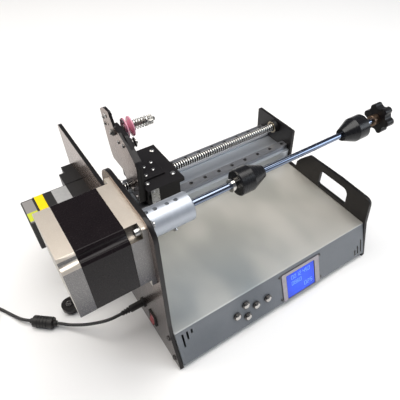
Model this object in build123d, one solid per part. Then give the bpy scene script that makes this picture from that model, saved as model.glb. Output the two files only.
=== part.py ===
from build123d import *
import math
import os

# Wire coil winding machine. Lengths in millimetres, angles in degrees.
# X runs along the winding shaft from the motor's side plate (X = 0 is that plate's outer face), Y runs back
# from the lower edge of the front panel, and Z is the height above the table.
# The finished pieces are shifted to an origin under the middle of the machine.

# ---------------------------------------------------------------- driving dimensions
# Side plates
PLATE_T = 5.0            # thickness of both side plates
CABINET_W = 317.0        # distance between the plates
PLATE_BACK = 305.5       # rear edge of the motor's plate
TOWER_TOP = 240.6        # top of the motor's plate
TOWER_BACK = 140.0       # rear edge of its tall part
SHELF_TOP = 194.5        # top of its long rear part
HANDLE_TOP = 106.0       # top of the handle on the right plate
RIGHT_TOWER_TOP = 126.0  # top of the right plate behind the handle
RIGHT_TOWER_FRONT = 182.5
NOTCH_BOTTOM = 65.5      # bottom of the notch between handle and rear tower

# Cabinet
SHEET_T = 1.5            # folded sheet
PANEL_RISE = 7.0         # lower edge of the front panel above the table
PANEL_LEAN = 16.2        # how far the panel leans back
PANEL_H = 53.5           # height of the panel
TOP_RISE = 2.8           # rise of the top from the panel to the linear module
COVER_DEPTH = 268.0
PLATE_MARGIN = 1.5       # how far the right plate stands out behind the cover
RIGHT_TOWER_BACK = COVER_DEPTH + PLATE_MARGIN
LIP = 14.0               # inward lips at the cover's lower edges
FLANGE_FRONT = 21.0      # width of the end flanges behind the panel
FLANGE_TOP = 12.0        # and under the top and along the rear wall
BEND_R = 2.0

# Spindle drive
MOTOR_SIDE = 86.0
MOTOR_MARGIN = 5.5       # from the motor's flange to the top of its plate
SPINDLE_Y = 73.2
SPINDLE_Z = TOWER_TOP - MOTOR_MARGIN - MOTOR_SIDE / 2
MOTOR_BOLT_HALF = 34.8   # half of the 69.6 mm bolt square
MOTOR_FLANGE_L = 17.4
MOTOR_STACK_L = 45.8
MOTOR_CAP_L = 16.5
PILOT_R = 36.5
MOTOR_SHAFT_R = 7.0
COUPLING_R = 16.5
COUPLING_GAP = 5.0       # between the plate and the coupling
COUPLING_L = 56.6
SHAFT_R = 4.0
SHAFT_END = 380.0        # right end of the winding shaft
CONE_R = 16.0
CONE_TIP_R = 8.0
CONE_L = 38.0
CONE_RIM_L = 18.0
LEFT_CONE_X = 129.0      # left cone's big end
RIGHT_CONE_X = 335.0     # right cone's big end
COLLAR_R = 7.5
COLLAR_OUT = 8.0         # how far a collar stands out of its cone
COLLAR_IN = 6.0
KNOB_X = 364.0           # inner face of the star
KNOB_T = 12.0
KNOB_R = 20.0
SLEEVE_L = 10.0          # sleeve between the star and the bobbin side
SLEEVE_R = 7.25

# Linear module
SCREW_Y = 225.3
SCREW_Z = 113.7
SCREW_R = 6.0
JOURNAL_R = 4.0
BEARING_R = 10.5         # round housing on the inner face of each side plate
BEARING_T = 7.0
SCREW_COUPLING_R = 11.0
SCREW_COUPLING_BORE = 12.5  # room for it in the left plate and the servo
BASE_W = 80.0
BASE_H = 25.7
RAIL_HALF_GAUGE = 28.6   # from the screw to each rail
RAIL_W = 12.0
RAIL_H = 8.2
RAIL_PITCH = 25.0
RAIL_FIRST_HOLE = 10.0   # from the left plate to the first screw
RAIL_END_GAP = 0.5
SERVO_SIDE = 49.0
SERVO_BODY_L = 68.0
SERVO_CAP_L = 16.0
SERVO_BOLT_HALF = 18.5

# Carriage
CARRIAGE_X = 64.0        # left face of the carriage at rest
BLOCK_L = 51.0
BLOCK_W = 82.6
TABLE_L = 56.4
TABLE_FRONT = 179.5
TABLE_BACK = 271.2
TABLE_T = 6.0
GUIDE_L = 45.4
GUIDE_W = 27.0
GUIDE_Z = 3.0            # underside of the guide blocks above the base
GUIDE_H = 10.0
BLOCK_H = 23.0
NUT_R = 10.0
NUT_FLANGE_R = 15.0
ARM_T = 5.5
GUIDE_PLATE_T = 4.0

# Wire tension unit, on the guide plate
TENSION_Y = 241.0
TENSION_Z = 196.3
TENSION_ROD_R = 2.5
DISC_R = 13.8
DISC_T = 2.0
DISC_DISH = 3.0
SPRING_R = 6.4           # to the middle of the wire
SPRING_WIRE_R = 0.6
SPRING_TURNS = 5
SPRING_L = 20.5
THUMB_NUT_R = 6.6
THUMB_NUT_L = 8.0
PULLEY_Y = 214.0
PULLEY_Z = 190.0
PULLEY_R = 6.5
PULLEY_T = 5.0

# Front panel: places along the panel (X) and up its slope (S)
DISPLAY_X = 198.0
DISPLAY_S = 26.25
DISPLAY_W = 66.0
DISPLAY_H = 46.5
GLASS_W = 51.0
GLASS_H = 41.0
GLASS_SHIFT_X = -0.5     # the glass sits a little left in its frame
GLASS_SHIFT_S = -1.75    # and low
DISPLAY_SCREW_S = 27.5   # middle of its four screws
BUTTON_X = 105.0
BUTTON_S = 27.5
BUTTON_DX = 15.3
BUTTON_DS = 10.0
ENTER_X = 139.2
ENTER_S = 27.0
BUTTON_R = 4.0
BUTTON_BEZEL_R = 5.5

# Left plate: switch and power jack
ROCKER_Y = 65.5
ROCKER_Z = 34.5
ROCKER_W = 15.5
ROCKER_H = 21.0
ROCKER_TILT = 8.0
JACK_Y = 93.0
JACK_Z = 35.0
JACK_R = 5.5

# Outrigger that steadies the motor side
FOOT_X = -82.0
FOOT_Y = 161.0
FOOT_R = 9.0
FOOT_H = 6.0
BAR_R = 11.0
BAR_T = 8.0

# Power lead
LEAD_R = 2.1
PLUG_R = 4.75
PLUG_L = 18.0
RELIEF_L = 12.0
FERRITE_R = 8.0
FERRITE_RIBS = 4         # shallow grooves round its middle
FERRITE_RIB_PITCH = 4.2
FERRITE_HALF_L = 14.0
FERRITE_COLLAR_L = 4.0
COIL_X = -204.3
COIL_Y = 222.5
COIL_R_START = 30.0
COIL_TURN_DEG = 30.0     # where round the coil the lead comes in
COIL_PITCH = 5.6         # from turn to turn in one layer
COIL_RISE = 5.2          # from layer to layer
COIL_HALF_TURNS_IN = 5
COIL_HALF_TURNS_OUT = 6
BRICK_L = 112.0
BRICK_W = 48.0
BRICK_H = 31.0

# Clearances
SCREW_CLEAR = 0.2        # fastener in a clearance hole
THREAD_CLEAR = 0.02      # fastener in its thread
RUN_CLEAR = 0.05         # shaft in its bearing
SLIDE_CLEAR = 0.2        # guide block over its rail
GAP = 0.3                # between pieces that move past each other

# ---------------------------------------------------------------- worked-out places
RIGHT_X = PLATE_T + CABINET_W                 # inner face of the right plate
BEND_Z = PANEL_RISE + PANEL_H
TOP_Z = BEND_Z + TOP_RISE                     # cover under the linear module
BASE_TOP = TOP_Z + BASE_H
BASE_FRONT = SCREW_Y - BASE_W / 2
RAIL_TOP = BASE_TOP + RAIL_H
RAIL_YS = (SCREW_Y - RAIL_HALF_GAUGE, SCREW_Y + RAIL_HALF_GAUGE)
BLOCK_Z = BASE_TOP + GUIDE_Z + GUIDE_H
TABLE_Z = BLOCK_Z + BLOCK_H
TABLE_TOP = TABLE_Z + TABLE_T
BLOCK_FRONT = SCREW_Y - BLOCK_W / 2
COUPLING_X = PLATE_T + COUPLING_GAP
COUPLING_END = COUPLING_X + COUPLING_L
MOTOR_X = -MOTOR_FLANGE_L - MOTOR_STACK_L
ARM_X = CARRIAGE_X - ARM_T
GUIDE_PLATE_X = ARM_X - GUIDE_PLATE_T

parts = {}


# ---------------------------------------------------------------- helpers
def box(x, y, z):
    """A block from its three spans."""
    middle = Pos((x[0] + x[1]) / 2, (y[0] + y[1]) / 2, (z[0] + z[1]) / 2)
    return middle * Box(x[1] - x[0], y[1] - y[0], z[1] - z[0])


def rod_x(x, y, z, radius):
    """A round bar along X."""
    return Pos((x[0] + x[1]) / 2, y, z) * Rot(0, 90, 0) * Cylinder(radius, x[1] - x[0])


def rod_y(x, y, z, radius):
    """A round bar along Y."""
    return Pos(x, (y[0] + y[1]) / 2, z) * Rot(90, 0, 0) * Cylinder(radius, y[1] - y[0])


def rod_z(x, y, z, radius):
    """A round bar along Z."""
    return Pos(x, y, (z[0] + z[1]) / 2) * Cylinder(radius, z[1] - z[0])


def slab_x(x, points, radii=0):
    """A plate across X, from its outline of (Y, Z) points and their corner radii."""
    outline = FilletPolyline(*points, radius=radii, close=True)
    return extrude(Plane.YZ.offset(x[0]) * make_face(outline), amount=x[1] - x[0])


def square_bar(x, y, z, side, corner):
    """A square bar along X with rounded corners."""
    section = Plane.YZ.offset(x[0]) * Pos(y, z) * RectangleRounded(side, side, corner)
    return extrude(section, amount=x[1] - x[0])


def turned_x(x, y, z, profile):
    """A turned piece about an axis along X, from its (along, radius) profile; along is counted from x."""
    plane = Plane(origin=(x, y, z), x_dir=(1, 0, 0), z_dir=(0, -1, 0))
    face = make_face(Polyline(*profile, close=True))
    return revolve(plane * face, axis=Axis((x, y, z), (1, 0, 0)))


def corners(y, z, half_y, half_z):
    """The four corners of a bolt rectangle about (y, z)."""
    return [(y + a * half_y, z + b * half_z) for a in (-1, 1) for b in (-1, 1)]


def button_head_x(x, y, z, outward, radius, length):
    """A round-headed screw along X; its head stands on x and points outward (+1 or -1)."""
    head = turned_x(
        x, y, z,
        [(0, 0), (0, 1.8 * radius), (outward * 0.6 * radius, 1.8 * radius),
         (outward * 1.1 * radius, 1.1 * radius), (outward * 1.1 * radius, 0)],
    )
    ends = sorted((x, x - outward * length))
    socket = rod_x(sorted((x + outward * 0.3 * radius, x + outward * 2 * radius)), y, z, 0.7 * radius)
    return head + rod_x(ends, y, z, radius) - socket


def button_head_z(x, y, z, upward, radius, length):
    """The same screw along Z."""
    screw = button_head_x(0, 0, 0, upward, radius, length)
    return Pos(x, y, z) * Rot(0, -90, 0) * screw


# The front panel's own frame: X along it, Y up its slope, Z out of it.
panel = Plane(origin=(0, 0, PANEL_RISE), x_dir=(1, 0, 0), z_dir=(0, -PANEL_H, PANEL_LEAN))


def on_panel(x, s, h, shape):
    """A shape made about the panel's axes, at x along it, s up it and h out of it."""
    return panel.location * Pos(x, s, h) * shape


def pad(width, height, low, high, corner=0.0):
    """A plate on the panel, from low to high out of it."""
    face = RectangleRounded(width, height, corner) if corner else Rectangle(width, height)
    return extrude(Pos(0, 0, low) * face, amount=high - low)


def peg(radius, low, high):
    """A round peg on the panel, from low to high out of it."""
    return Pos(0, 0, (low + high) / 2) * Cylinder(radius, high - low)


# ---------------------------------------------------------------- fasteners of the frame
PLATE_SCREW_R = 2.0
COVER_SCREWS = (                                          # (Y, Z) on both side plates
    (15.0, PANEL_RISE + 4.0),
    (24.0, PANEL_RISE + 38.5),
)
BASE_SCREW_R = 2.5
BASE_SCREWS = tuple((SCREW_Y + a * 30.0, TOP_Z + BASE_H / 2) for a in (-1, 1))
BAR_Z = FOOT_H + BAR_T / 2
BAR_SCREW_R = 1.5
BAR_SCREWS = tuple((FOOT_Y + a * 6.0, BAR_Z) for a in (-1, 1))
SERVO_SCREWS = tuple(corners(SCREW_Y, SCREW_Z, SERVO_BOLT_HALF, SERVO_BOLT_HALF))
MOTOR_BOLT_R = 2.5
MOTOR_BOLTS = corners(SPINDLE_Y, SPINDLE_Z, MOTOR_BOLT_HALF, MOTOR_BOLT_HALF)
RAIL_SCREW_R = 1.7
RAIL_HEAD_R = 2.9
FLOOR_SCREW_R = 1.5
FLOOR_PLATE_Z = PANEL_RISE + SHEET_T
DISPLAY_SCREW_R = 1.25
DISPLAY_SCREW_DX = DISPLAY_W / 2 + 2.3
DISPLAY_HEAD_R = 2.0
DISPLAY_SCREW_DS = 19.5
PCB_T = 1.6
DISPLAY_PCB_H = -3.0                                      # front of its board, behind the panel
FOOT_SCREW_R = 2.5


# ---------------------------------------------------------------- side plates
def plate_holes(x, spots, radius):
    """Round holes through a side plate whose outer or inner face is at x."""
    return [rod_x((x - 1, x + PLATE_T + 1), y, z, radius) for y, z in spots]


def left_side_plate():
    """The tall plate that carries the motor, the servo, the switch and the power jack."""
    outline = [
        (1.0, 0), (18.5, BEND_Z - 3.5), (20.5, BEND_Z + 16.5), (20.5, TOWER_TOP),
        (TOWER_BACK, TOWER_TOP), (TOWER_BACK, SHELF_TOP), (PLATE_BACK, SHELF_TOP), (PLATE_BACK, 0),
    ]
    rear_corner = min(28.0, TOWER_TOP - SHELF_TOP - 3.0)
    plate = slab_x((0, PLATE_T), outline, [1.5, 10, 10, 20, rear_corner, 2, 4, 4])
    plate -= plate_holes(0, [(SPINDLE_Y, SPINDLE_Z)], PILOT_R + SCREW_CLEAR)
    plate -= plate_holes(0, [(SCREW_Y, SCREW_Z)], SCREW_COUPLING_BORE)
    plate -= plate_holes(0, [(JACK_Y, JACK_Z)], JACK_R + SCREW_CLEAR)
    plate -= plate_holes(0, MOTOR_BOLTS, MOTOR_BOLT_R + SCREW_CLEAR)
    plate -= plate_holes(0, COVER_SCREWS + SERVO_SCREWS, PLATE_SCREW_R + SCREW_CLEAR)
    plate -= plate_holes(0, BASE_SCREWS, BASE_SCREW_R + SCREW_CLEAR)
    plate -= plate_holes(0, BAR_SCREWS, BAR_SCREW_R + SCREW_CLEAR)
    cut_w = ROCKER_W - 2 + 2 * SCREW_CLEAR
    cut_h = ROCKER_H - 2 + 2 * SCREW_CLEAR
    plate -= box(
        (-1, PLATE_T + 1),
        (ROCKER_Y - cut_w / 2, ROCKER_Y + cut_w / 2),
        (ROCKER_Z - cut_h / 2, ROCKER_Z + cut_h / 2),
    )
    return plate


HOLE_BOTTOM = 67.0
HOLE_TOP = 94.5
HOLE_FRONT = 55.0
HOLE_BACK = 112.5


def right_side_plate():
    """The low plate with the handle, and the tower that carries the screw's right bearing housing."""
    outline = [
        (0.5, 0), (13.8, BEND_Z), (17.0, HANDLE_TOP - 2.5), (75.0, HANDLE_TOP), (140.0, HANDLE_TOP - 1.0),
        (157.0, 88.0), (163.0, 80.0), (165.0, NOTCH_BOTTOM), (RIGHT_TOWER_FRONT, NOTCH_BOTTOM), (RIGHT_TOWER_FRONT, RIGHT_TOWER_TOP),
        (RIGHT_TOWER_BACK, RIGHT_TOWER_TOP), (RIGHT_TOWER_BACK, 0),
    ]
    x = (RIGHT_X, RIGHT_X + PLATE_T)
    plate = slab_x(x, outline, [1.5, 10, 10, 30, 8, 8, 6, 2, 2, 3, 3, 4])
    hand_hole = [
        (HOLE_FRONT, HOLE_BOTTOM), (HOLE_FRONT + 1.5, HOLE_TOP), (HOLE_BACK - 1.0, HOLE_TOP),
        (HOLE_BACK, HOLE_BOTTOM),
    ]
    plate -= slab_x((x[0] - 1, x[1] + 1), hand_hole, [3, 10, 5, 3])
    plate -= plate_holes(RIGHT_X, COVER_SCREWS, PLATE_SCREW_R + SCREW_CLEAR)
    plate -= plate_holes(RIGHT_X, BASE_SCREWS, BASE_SCREW_R + SCREW_CLEAR)
    return plate


# ---------------------------------------------------------------- cabinet
COVER_OUTLINE = [
    (0, PANEL_RISE), (PANEL_LEAN, BEND_Z), (BASE_FRONT - 3.0, TOP_Z), (COVER_DEPTH, TOP_Z),
    (COVER_DEPTH, PANEL_RISE),
]


def floor_screw_spots():
    """(X, Y) of the screws that hold the floor plate to the cover's lips."""
    return [(x, y) for x in (40.0, RIGHT_X - 35.0) for y in (LIP / 2 + 2, COVER_DEPTH - LIP / 2)]


def cabinet_cover():
    """One sheet folded to the front panel, the top and the rear wall, with a flange at each end."""
    face = make_face(FilletPolyline(*COVER_OUTLINE, radius=[BEND_R, BEND_R, 0, BEND_R, BEND_R], close=True))
    hollow = offset(face, amount=-SHEET_T, kind=Kind.INTERSECTION)
    mouth = Pos(COVER_DEPTH / 2, PANEL_RISE) * Rectangle(COVER_DEPTH - 2 * LIP, 4 * SHEET_T)
    lean = PANEL_LEAN / PANEL_H
    low = TOP_Z - FLANGE_TOP
    inner = make_face(Polyline(
        (FLANGE_FRONT, PANEL_RISE - 1), (FLANGE_FRONT + lean * (low - PANEL_RISE), low),
        (COVER_DEPTH - FLANGE_TOP, low), (COVER_DEPTH - FLANGE_TOP, PANEL_RISE - 1), close=True,
    ))
    sheet = extrude(Plane.YZ.offset(PLATE_T) * (face - hollow - mouth), amount=CABINET_W)
    for x in (PLATE_T, RIGHT_X - SHEET_T):
        sheet += extrude(Plane.YZ.offset(x) * (face - inner - mouth), amount=SHEET_T)
    for x in (PLATE_T - 1, RIGHT_X - PLATE_T + 1):
        sheet -= plate_holes(x, COVER_SCREWS, PLATE_SCREW_R + THREAD_CLEAR)
    for x, y in floor_screw_spots():
        sheet -= rod_z(x, y, (PANEL_RISE - 1, FLOOR_PLATE_Z + 1), FLOOR_SCREW_R + SCREW_CLEAR)
    sheet -= on_panel(DISPLAY_X, DISPLAY_S, 0, pad(DISPLAY_W + 0.4, DISPLAY_H + 0.4, -6, 6))
    for x, s in display_screw_spots():
        sheet -= on_panel(x, s, 0, peg(DISPLAY_SCREW_R + SCREW_CLEAR, -6, 6))
    for x, s in BUTTONS.values():
        sheet -= on_panel(x, s, 0, peg(BUSH_R + SCREW_CLEAR, -6, 6))
    for x, low_s, high_s in VENTS:
        slot = pad(VENT_W, high_s - low_s, -6, 6, VENT_W * 0.45)
        sheet -= on_panel(x, (low_s + high_s) / 2, 0, slot)
    return sheet


VENT_W = 2.6
VENTS = (                                                 # X, then the slot's two ends up the panel
    (13.5, 28.0, 50.0), (20.0, 37.0, 50.5), (26.3, 43.0, 50.5),
    (PLATE_T + CABINET_W - 5.3, 5.7, 29.3), (PLATE_T + CABINET_W - 11.7, 5.7, 20.4),
    (PLATE_T + CABINET_W - 17.4, 5.3, 16.0),
)
BUSH_R = 4.0
BUTTONS = {
    "button_left": (BUTTON_X - BUTTON_DX, BUTTON_S),
    "button_right": (BUTTON_X + BUTTON_DX, BUTTON_S),
    "button_up": (BUTTON_X, BUTTON_S + BUTTON_DS),
    "button_down": (BUTTON_X, BUTTON_S - BUTTON_DS),
    "button_enter": (ENTER_X, ENTER_S),
}


def display_screw_spots():
    """(X, S) of the four screws at the corners of the display."""
    return [
        (DISPLAY_X + a * DISPLAY_SCREW_DX, DISPLAY_SCREW_S + b * DISPLAY_SCREW_DS)
        for a in (-1, 1) for b in (-1, 1)
    ]


STANDOFF_H = 8.0
BOARD = ((150.0, 250.0), (66.0, 132.0))                   # X and Y spans of the control board


def board_corners():
    """(X, Y) of the board's four standoffs."""
    (x0, x1), (y0, y1) = BOARD
    return [(x, y) for x in (x0 + 5, x1 - 5) for y in (y0 + 5, y1 - 5)]


def bottom_plate():
    """The floor of the cabinet, lying on the cover's lips, with the board's pressed-in standoffs."""
    edge = PLATE_T + SHEET_T + GAP
    z = (FLOOR_PLATE_Z, FLOOR_PLATE_Z + SHEET_T)
    floor = box((edge, PLATE_T + RIGHT_X - edge), (5.5, COVER_DEPTH - 4.0), z)
    for x, y in board_corners():
        floor += rod_z(x, y, (z[1] - SHEET_T / 2, z[1] + STANDOFF_H), 3.0)
    for x, y in floor_screw_spots():
        floor -= rod_z(x, y, (z[0] - 1, z[1] + 1), FLOOR_SCREW_R + THREAD_CLEAR)
    low_y, low_z = COVER_SCREWS[0]
    for x in (PLATE_T, RIGHT_X - 5.0):
        floor -= rod_x((x, x + 5.0), low_y, low_z, PLATE_SCREW_R + 0.6)
    return floor


def control_board():
    """The controller's circuit board with its driver, capacitors and terminals."""
    low = FLOOR_PLATE_Z + SHEET_T + STANDOFF_H
    (x0, x1), (y0, y1) = BOARD
    board = box((x0, x1), (y0, y1), (low, low + PCB_T))
    top = low + PCB_T - 0.2
    board += box((x0 + 12, x0 + 40), (y0 + 18, y0 + 46), (top, top + 9))
    board += box((x1 - 34, x1 - 4), (y0 + 14, y0 + 26), (top, top + 12))
    board += box((x0 + 12, x1 - 12), (y1 - 12, y1 - 2), (top, top + 10))
    for x in (x0 + 52, x0 + 66):
        board += rod_z(x, y0 + 24, (top, top + 16), 5.0)
    return board


def display_bezel():
    """The display's metal frame, standing just out of its window in the panel."""
    frame = pad(DISPLAY_W, DISPLAY_H, DISPLAY_PCB_H, 1.5, 1.0)
    frame -= Pos(GLASS_SHIFT_X, GLASS_SHIFT_S, 0) * pad(GLASS_W, GLASS_H, DISPLAY_PCB_H - 1, 2)
    return on_panel(DISPLAY_X, DISPLAY_S, 0, frame)


def display_panel():
    """The display's glass and the small board behind it."""
    glass = Pos(GLASS_SHIFT_X, GLASS_SHIFT_S, 0) * pad(GLASS_W - 0.2, GLASS_H - 0.2, DISPLAY_PCB_H - 0.2, 0.7)
    width = 2 * DISPLAY_SCREW_DX + 6
    low = DISPLAY_PCB_H - PCB_T
    board = Pos(0, DISPLAY_SCREW_S - DISPLAY_S, 0) * pad(width, 2 * DISPLAY_SCREW_DS + 5.0, low, DISPLAY_PCB_H)
    for x, s in display_screw_spots():
        hole = peg(DISPLAY_SCREW_R + SCREW_CLEAR, low - 1, DISPLAY_PCB_H + 1)
        board -= Pos(x - DISPLAY_X, s - DISPLAY_S, 0) * hole
    return on_panel(DISPLAY_X, DISPLAY_S, 0, glass + board)


# ---------------------------------------------------------------- buttons, switch and jack
STEM_R = 2.0
BEZEL_H = 2.2
CUP_H = 0.6                                               # floor of the cup that the button sinks into
BUTTON_TRAVEL = 1.1


def button_housings():
    """Five threaded bushes with a bright rim, one for each button."""
    group = []
    for x, s in BUTTONS.values():
        body = peg(BUTTON_BEZEL_R, 0, BEZEL_H) + peg(BUSH_R, -12, 0.5)
        body -= peg(BUTTON_R + GAP, CUP_H, BEZEL_H + 1)
        body -= peg(STEM_R + GAP, -10.5, BEZEL_H)
        group.append(on_panel(x, s, 0, body))
    return Compound(group)


def button(x, s):
    """A domed metal button on its stem."""
    low = CUP_H + BUTTON_TRAVEL + GAP
    cap = peg(BUTTON_R, low, low + 1.4)
    dome_r = (BUTTON_R ** 2 + 1.2 ** 2) / (2 * 1.2)
    dome = Pos(0, 0, low + 1.4 + 1.2 - dome_r) * Sphere(dome_r)
    cap += dome & peg(BUTTON_R, low + 1.3, low + 3)
    return on_panel(x, s, 0, cap + peg(STEM_R, -8.5, low + 0.5))


def rocker_housing():
    """The switch's black case, snapped into the left plate."""
    y = (ROCKER_Y - ROCKER_W / 2, ROCKER_Y + ROCKER_W / 2)
    z = (ROCKER_Z - ROCKER_H / 2, ROCKER_Z + ROCKER_H / 2)
    case = box((-2.0, 0), y, z)
    case += box((-1.0, 17.0), (y[0] + 1, y[1] - 1), (z[0] + 1, z[1] - 1))
    case -= box((-3.0, 7.0), (y[0] + 2.4, y[1] - 2.4), (z[0] + 1.7, z[1] - 1.7))
    case -= rod_y(PIVOT_X, (y[0] + 1.6, y[1] - 1.6), ROCKER_Z, 1.0 + RUN_CLEAR)
    for a in (-1, 1):
        case += box((16.5, 23.0), (ROCKER_Y - 2.4, ROCKER_Y + 2.4), (ROCKER_Z + a * 5 - 0.4, ROCKER_Z + a * 5 + 0.4))
    return case


PIVOT_X = 0.5


def rocker():
    """The red rocker, pressed at the top, on a pin along Y."""
    outline = [(-3.4, -8.0), (-1.9, 0), (-3.4, 8.0), (1.0, 8.0), (3.6, 3.0), (3.6, -3.0), (1.0, -8.0)]
    width = ROCKER_W - 4.8 - 2 * GAP
    half = width / 2
    section = Plane.XZ * make_face(Polyline(*outline, close=True))
    body = extrude(section, amount=half, both=True)
    body += rod_y(0, (-half - 0.8, half + 0.8), 0, 1.0)
    return Pos(PIVOT_X, ROCKER_Y, ROCKER_Z) * Rot(0, ROCKER_TILT, 0) * body


def dc_jack():
    """The round power socket: a flange outside the plate, a barrel inside, and its centre pin."""
    jack = rod_x((-2.0, 0), JACK_Y, JACK_Z, JACK_R + 1.5) + rod_x((-1.0, 16.0), JACK_Y, JACK_Z, JACK_R)
    jack += rod_x((PLATE_T, PLATE_T + 3.0), JACK_Y, JACK_Z, JACK_R + 1.8)
    jack -= rod_x((-3.0, 12.0), JACK_Y, JACK_Z, BARREL_R + SCREW_CLEAR)
    return jack + rod_x((4.0, 13.0), JACK_Y, JACK_Z, 1.0)


BARREL_R = 2.75

# ---------------------------------------------------------------- outrigger


def outrigger_bar():
    """The bar that reaches under the motors to a rubber foot, bolted to the left plate."""
    bar = box((FOOT_X, 0), (FOOT_Y - BAR_R, FOOT_Y + BAR_R), (FOOT_H, FOOT_H + BAR_T))
    bar += rod_z(FOOT_X, FOOT_Y, (FOOT_H, FOOT_H + BAR_T), BAR_R)
    bar -= rod_z(FOOT_X, FOOT_Y, (FOOT_H - 1, FOOT_H + BAR_T + 1), FOOT_SCREW_R + SCREW_CLEAR)
    for y, z in BAR_SCREWS:
        bar -= rod_x((-13.0, 1.0), y, z, BAR_SCREW_R + THREAD_CLEAR)
    return bar


def outrigger_foot():
    """The round rubber foot under the bar."""
    foot = turned_z(FOOT_X, FOOT_Y, [(0, 0), (FOOT_R - 1.5, 0), (FOOT_R, 1.5), (FOOT_R - 0.6, FOOT_H), (0, FOOT_H)])
    return foot - rod_z(FOOT_X, FOOT_Y, (2.0, FOOT_H + 1), FOOT_SCREW_R + THREAD_CLEAR)


def turned_z(x, y, profile):
    """A turned piece about a vertical axis, from its (radius, height) profile."""
    face = Plane(origin=(x, y, 0), x_dir=(1, 0, 0), z_dir=(0, -1, 0)) * make_face(Polyline(*profile, close=True))
    return revolve(face, axis=Axis((x, y, 0), (0, 0, 1)))


# ---------------------------------------------------------------- spindle motor
CORNER_CUT = 10.6


def motor_section(x):
    """The motor's square section with a broad bevel and a shallow groove at each corner."""
    half = MOTOR_SIDE / 2
    body = box(x, (SPINDLE_Y - half, SPINDLE_Y + half), (SPINDLE_Z - half, SPINDLE_Z + half))
    body = chamfer(body.edges().filter_by(Axis.X), CORNER_CUT)
    groove = half - CORNER_CUT / 2 + 2.2
    for y, z in corners(SPINDLE_Y, SPINDLE_Z, groove, groove):
        body -= rod_x((x[0] - 1, x[1] + 1), y, z, 5.0)
    return body


def motor_end_bells():
    """The motor's cast end pieces: the front flange, notched for its bolts, and the rear cap."""
    front = square_bar((-MOTOR_FLANGE_L, 0), SPINDLE_Y, SPINDLE_Z, MOTOR_SIDE, 3.0)
    half = MOTOR_SIDE / 2
    notch_r = 8.6
    for a in (-1, 1):
        for b in (-1, 1):
            y = SPINDLE_Y + a * MOTOR_BOLT_HALF
            z = SPINDLE_Z + b * MOTOR_BOLT_HALF
            depth = (-MOTOR_FLANGE_L - 1, -FLANGE_PLATE_T)
            front -= rod_x(depth, y, z, notch_r)
            front -= box(
                depth,
                sorted((y, SPINDLE_Y + a * (half + 1))),
                sorted((z, SPINDLE_Z + b * (half + 1))),
            )
            front -= rod_x((-MOTOR_FLANGE_L, 1), y, z, MOTOR_BOLT_R + SCREW_CLEAR)
    front += rod_x((-1.0, 2.0), SPINDLE_Y, SPINDLE_Z, PILOT_R)
    front -= rod_x((-MOTOR_FLANGE_L + 1, 3.0), SPINDLE_Y, SPINDLE_Z, MOTOR_SHAFT_R + RUN_CLEAR)
    rear = motor_section((MOTOR_X - MOTOR_CAP_L, MOTOR_X))
    return Compound([front, rear])


FLANGE_PLATE_T = 5.0


def motor_bolts():
    """The four bolts of the motor, each with its nut behind the plate."""
    group = []
    for y, z in MOTOR_BOLTS:
        head = rod_x((-FLANGE_PLATE_T - 5.0, -FLANGE_PLATE_T), y, z, 4.25)
        head -= rod_x((-FLANGE_PLATE_T - 6.0, -FLANGE_PLATE_T - 2.5), y, z, 2.2)
        nut = extrude(Plane.YZ.offset(PLATE_T) * Pos(y, z) * RegularPolygon(4.6, 6), amount=4.0)
        group.append(head + rod_x((-FLANGE_PLATE_T - 1, PLATE_T + 5.5), y, z, MOTOR_BOLT_R) + nut)
    return Compound(group)


# ---------------------------------------------------------------- spindle
def motor_shaft():
    """The motor's output shaft, from its front bearing into the coupling."""
    return rod_x((-MOTOR_FLANGE_L + 1.5, COUPLING_X + 27.0), SPINDLE_Y, SPINDLE_Z, MOTOR_SHAFT_R)


TOP_SCREW_XS = (17.0, 27.2, 40.9, 51.5)
SET_SCREW_R = 2.4
SIDE_SCREW_X = 42.0
SIDE_SCREW_TILT = 45.0
SHAFT_START = COUPLING_X + 28.5


def coupling_bores():
    """What the two shafts and the set screws take out of the coupling."""
    cuts = [
        rod_x((COUPLING_X - 1, COUPLING_X + 27.5), SPINDLE_Y, SPINDLE_Z, MOTOR_SHAFT_R + THREAD_CLEAR),
        rod_x((COUPLING_X + 27, COUPLING_END + 1), SPINDLE_Y, SPINDLE_Z, SHAFT_R + THREAD_CLEAR),
    ]
    for x in TOP_SCREW_XS:
        cuts.append(rod_z(x, SPINDLE_Y, (SPINDLE_Z, SPINDLE_Z + COUPLING_R + 1), SET_SCREW_R + THREAD_CLEAR))
    side = Rot(180 - SIDE_SCREW_TILT, 0, 0) * rod_z(0, 0, (0, COUPLING_R + 1), SET_SCREW_R + THREAD_CLEAR)
    cuts.append(Pos(SIDE_SCREW_X, SPINDLE_Y, SPINDLE_Z) * side)
    return cuts


def shaft_coupling():
    """The rigid sleeve that clamps the winding shaft to the motor's shaft."""
    body = rod_x((COUPLING_X, COUPLING_END), SPINDLE_Y, SPINDLE_Z, COUPLING_R)
    body = chamfer(body.edges().filter_by(GeomType.CIRCLE), 1.0)
    for cut in coupling_bores():
        body -= cut
    return body


def coupling_screws():
    """Four sunk set screws on top and one that stands out at the side."""
    group = []
    for x in TOP_SCREW_XS:
        seat = MOTOR_SHAFT_R if x < COUPLING_X + 27 else SHAFT_R
        top = SPINDLE_Z + COUPLING_R - 3.0
        screw = rod_z(x, SPINDLE_Y, (SPINDLE_Z + seat + GAP, top), SET_SCREW_R)
        group.append(screw - rod_z(x, SPINDLE_Y, (top - 2, top + 1), 1.2))
    seat = SHAFT_R + GAP
    side = rod_z(0, 0, (seat, COUPLING_R + 2.4), SET_SCREW_R) - rod_z(0, 0, (COUPLING_R + 0.5, COUPLING_R + 3), 1.2)
    group.append(Pos(SIDE_SCREW_X, SPINDLE_Y, SPINDLE_Z) * Rot(180 - SIDE_SCREW_TILT, 0, 0) * side)
    return Compound(group)


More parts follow.
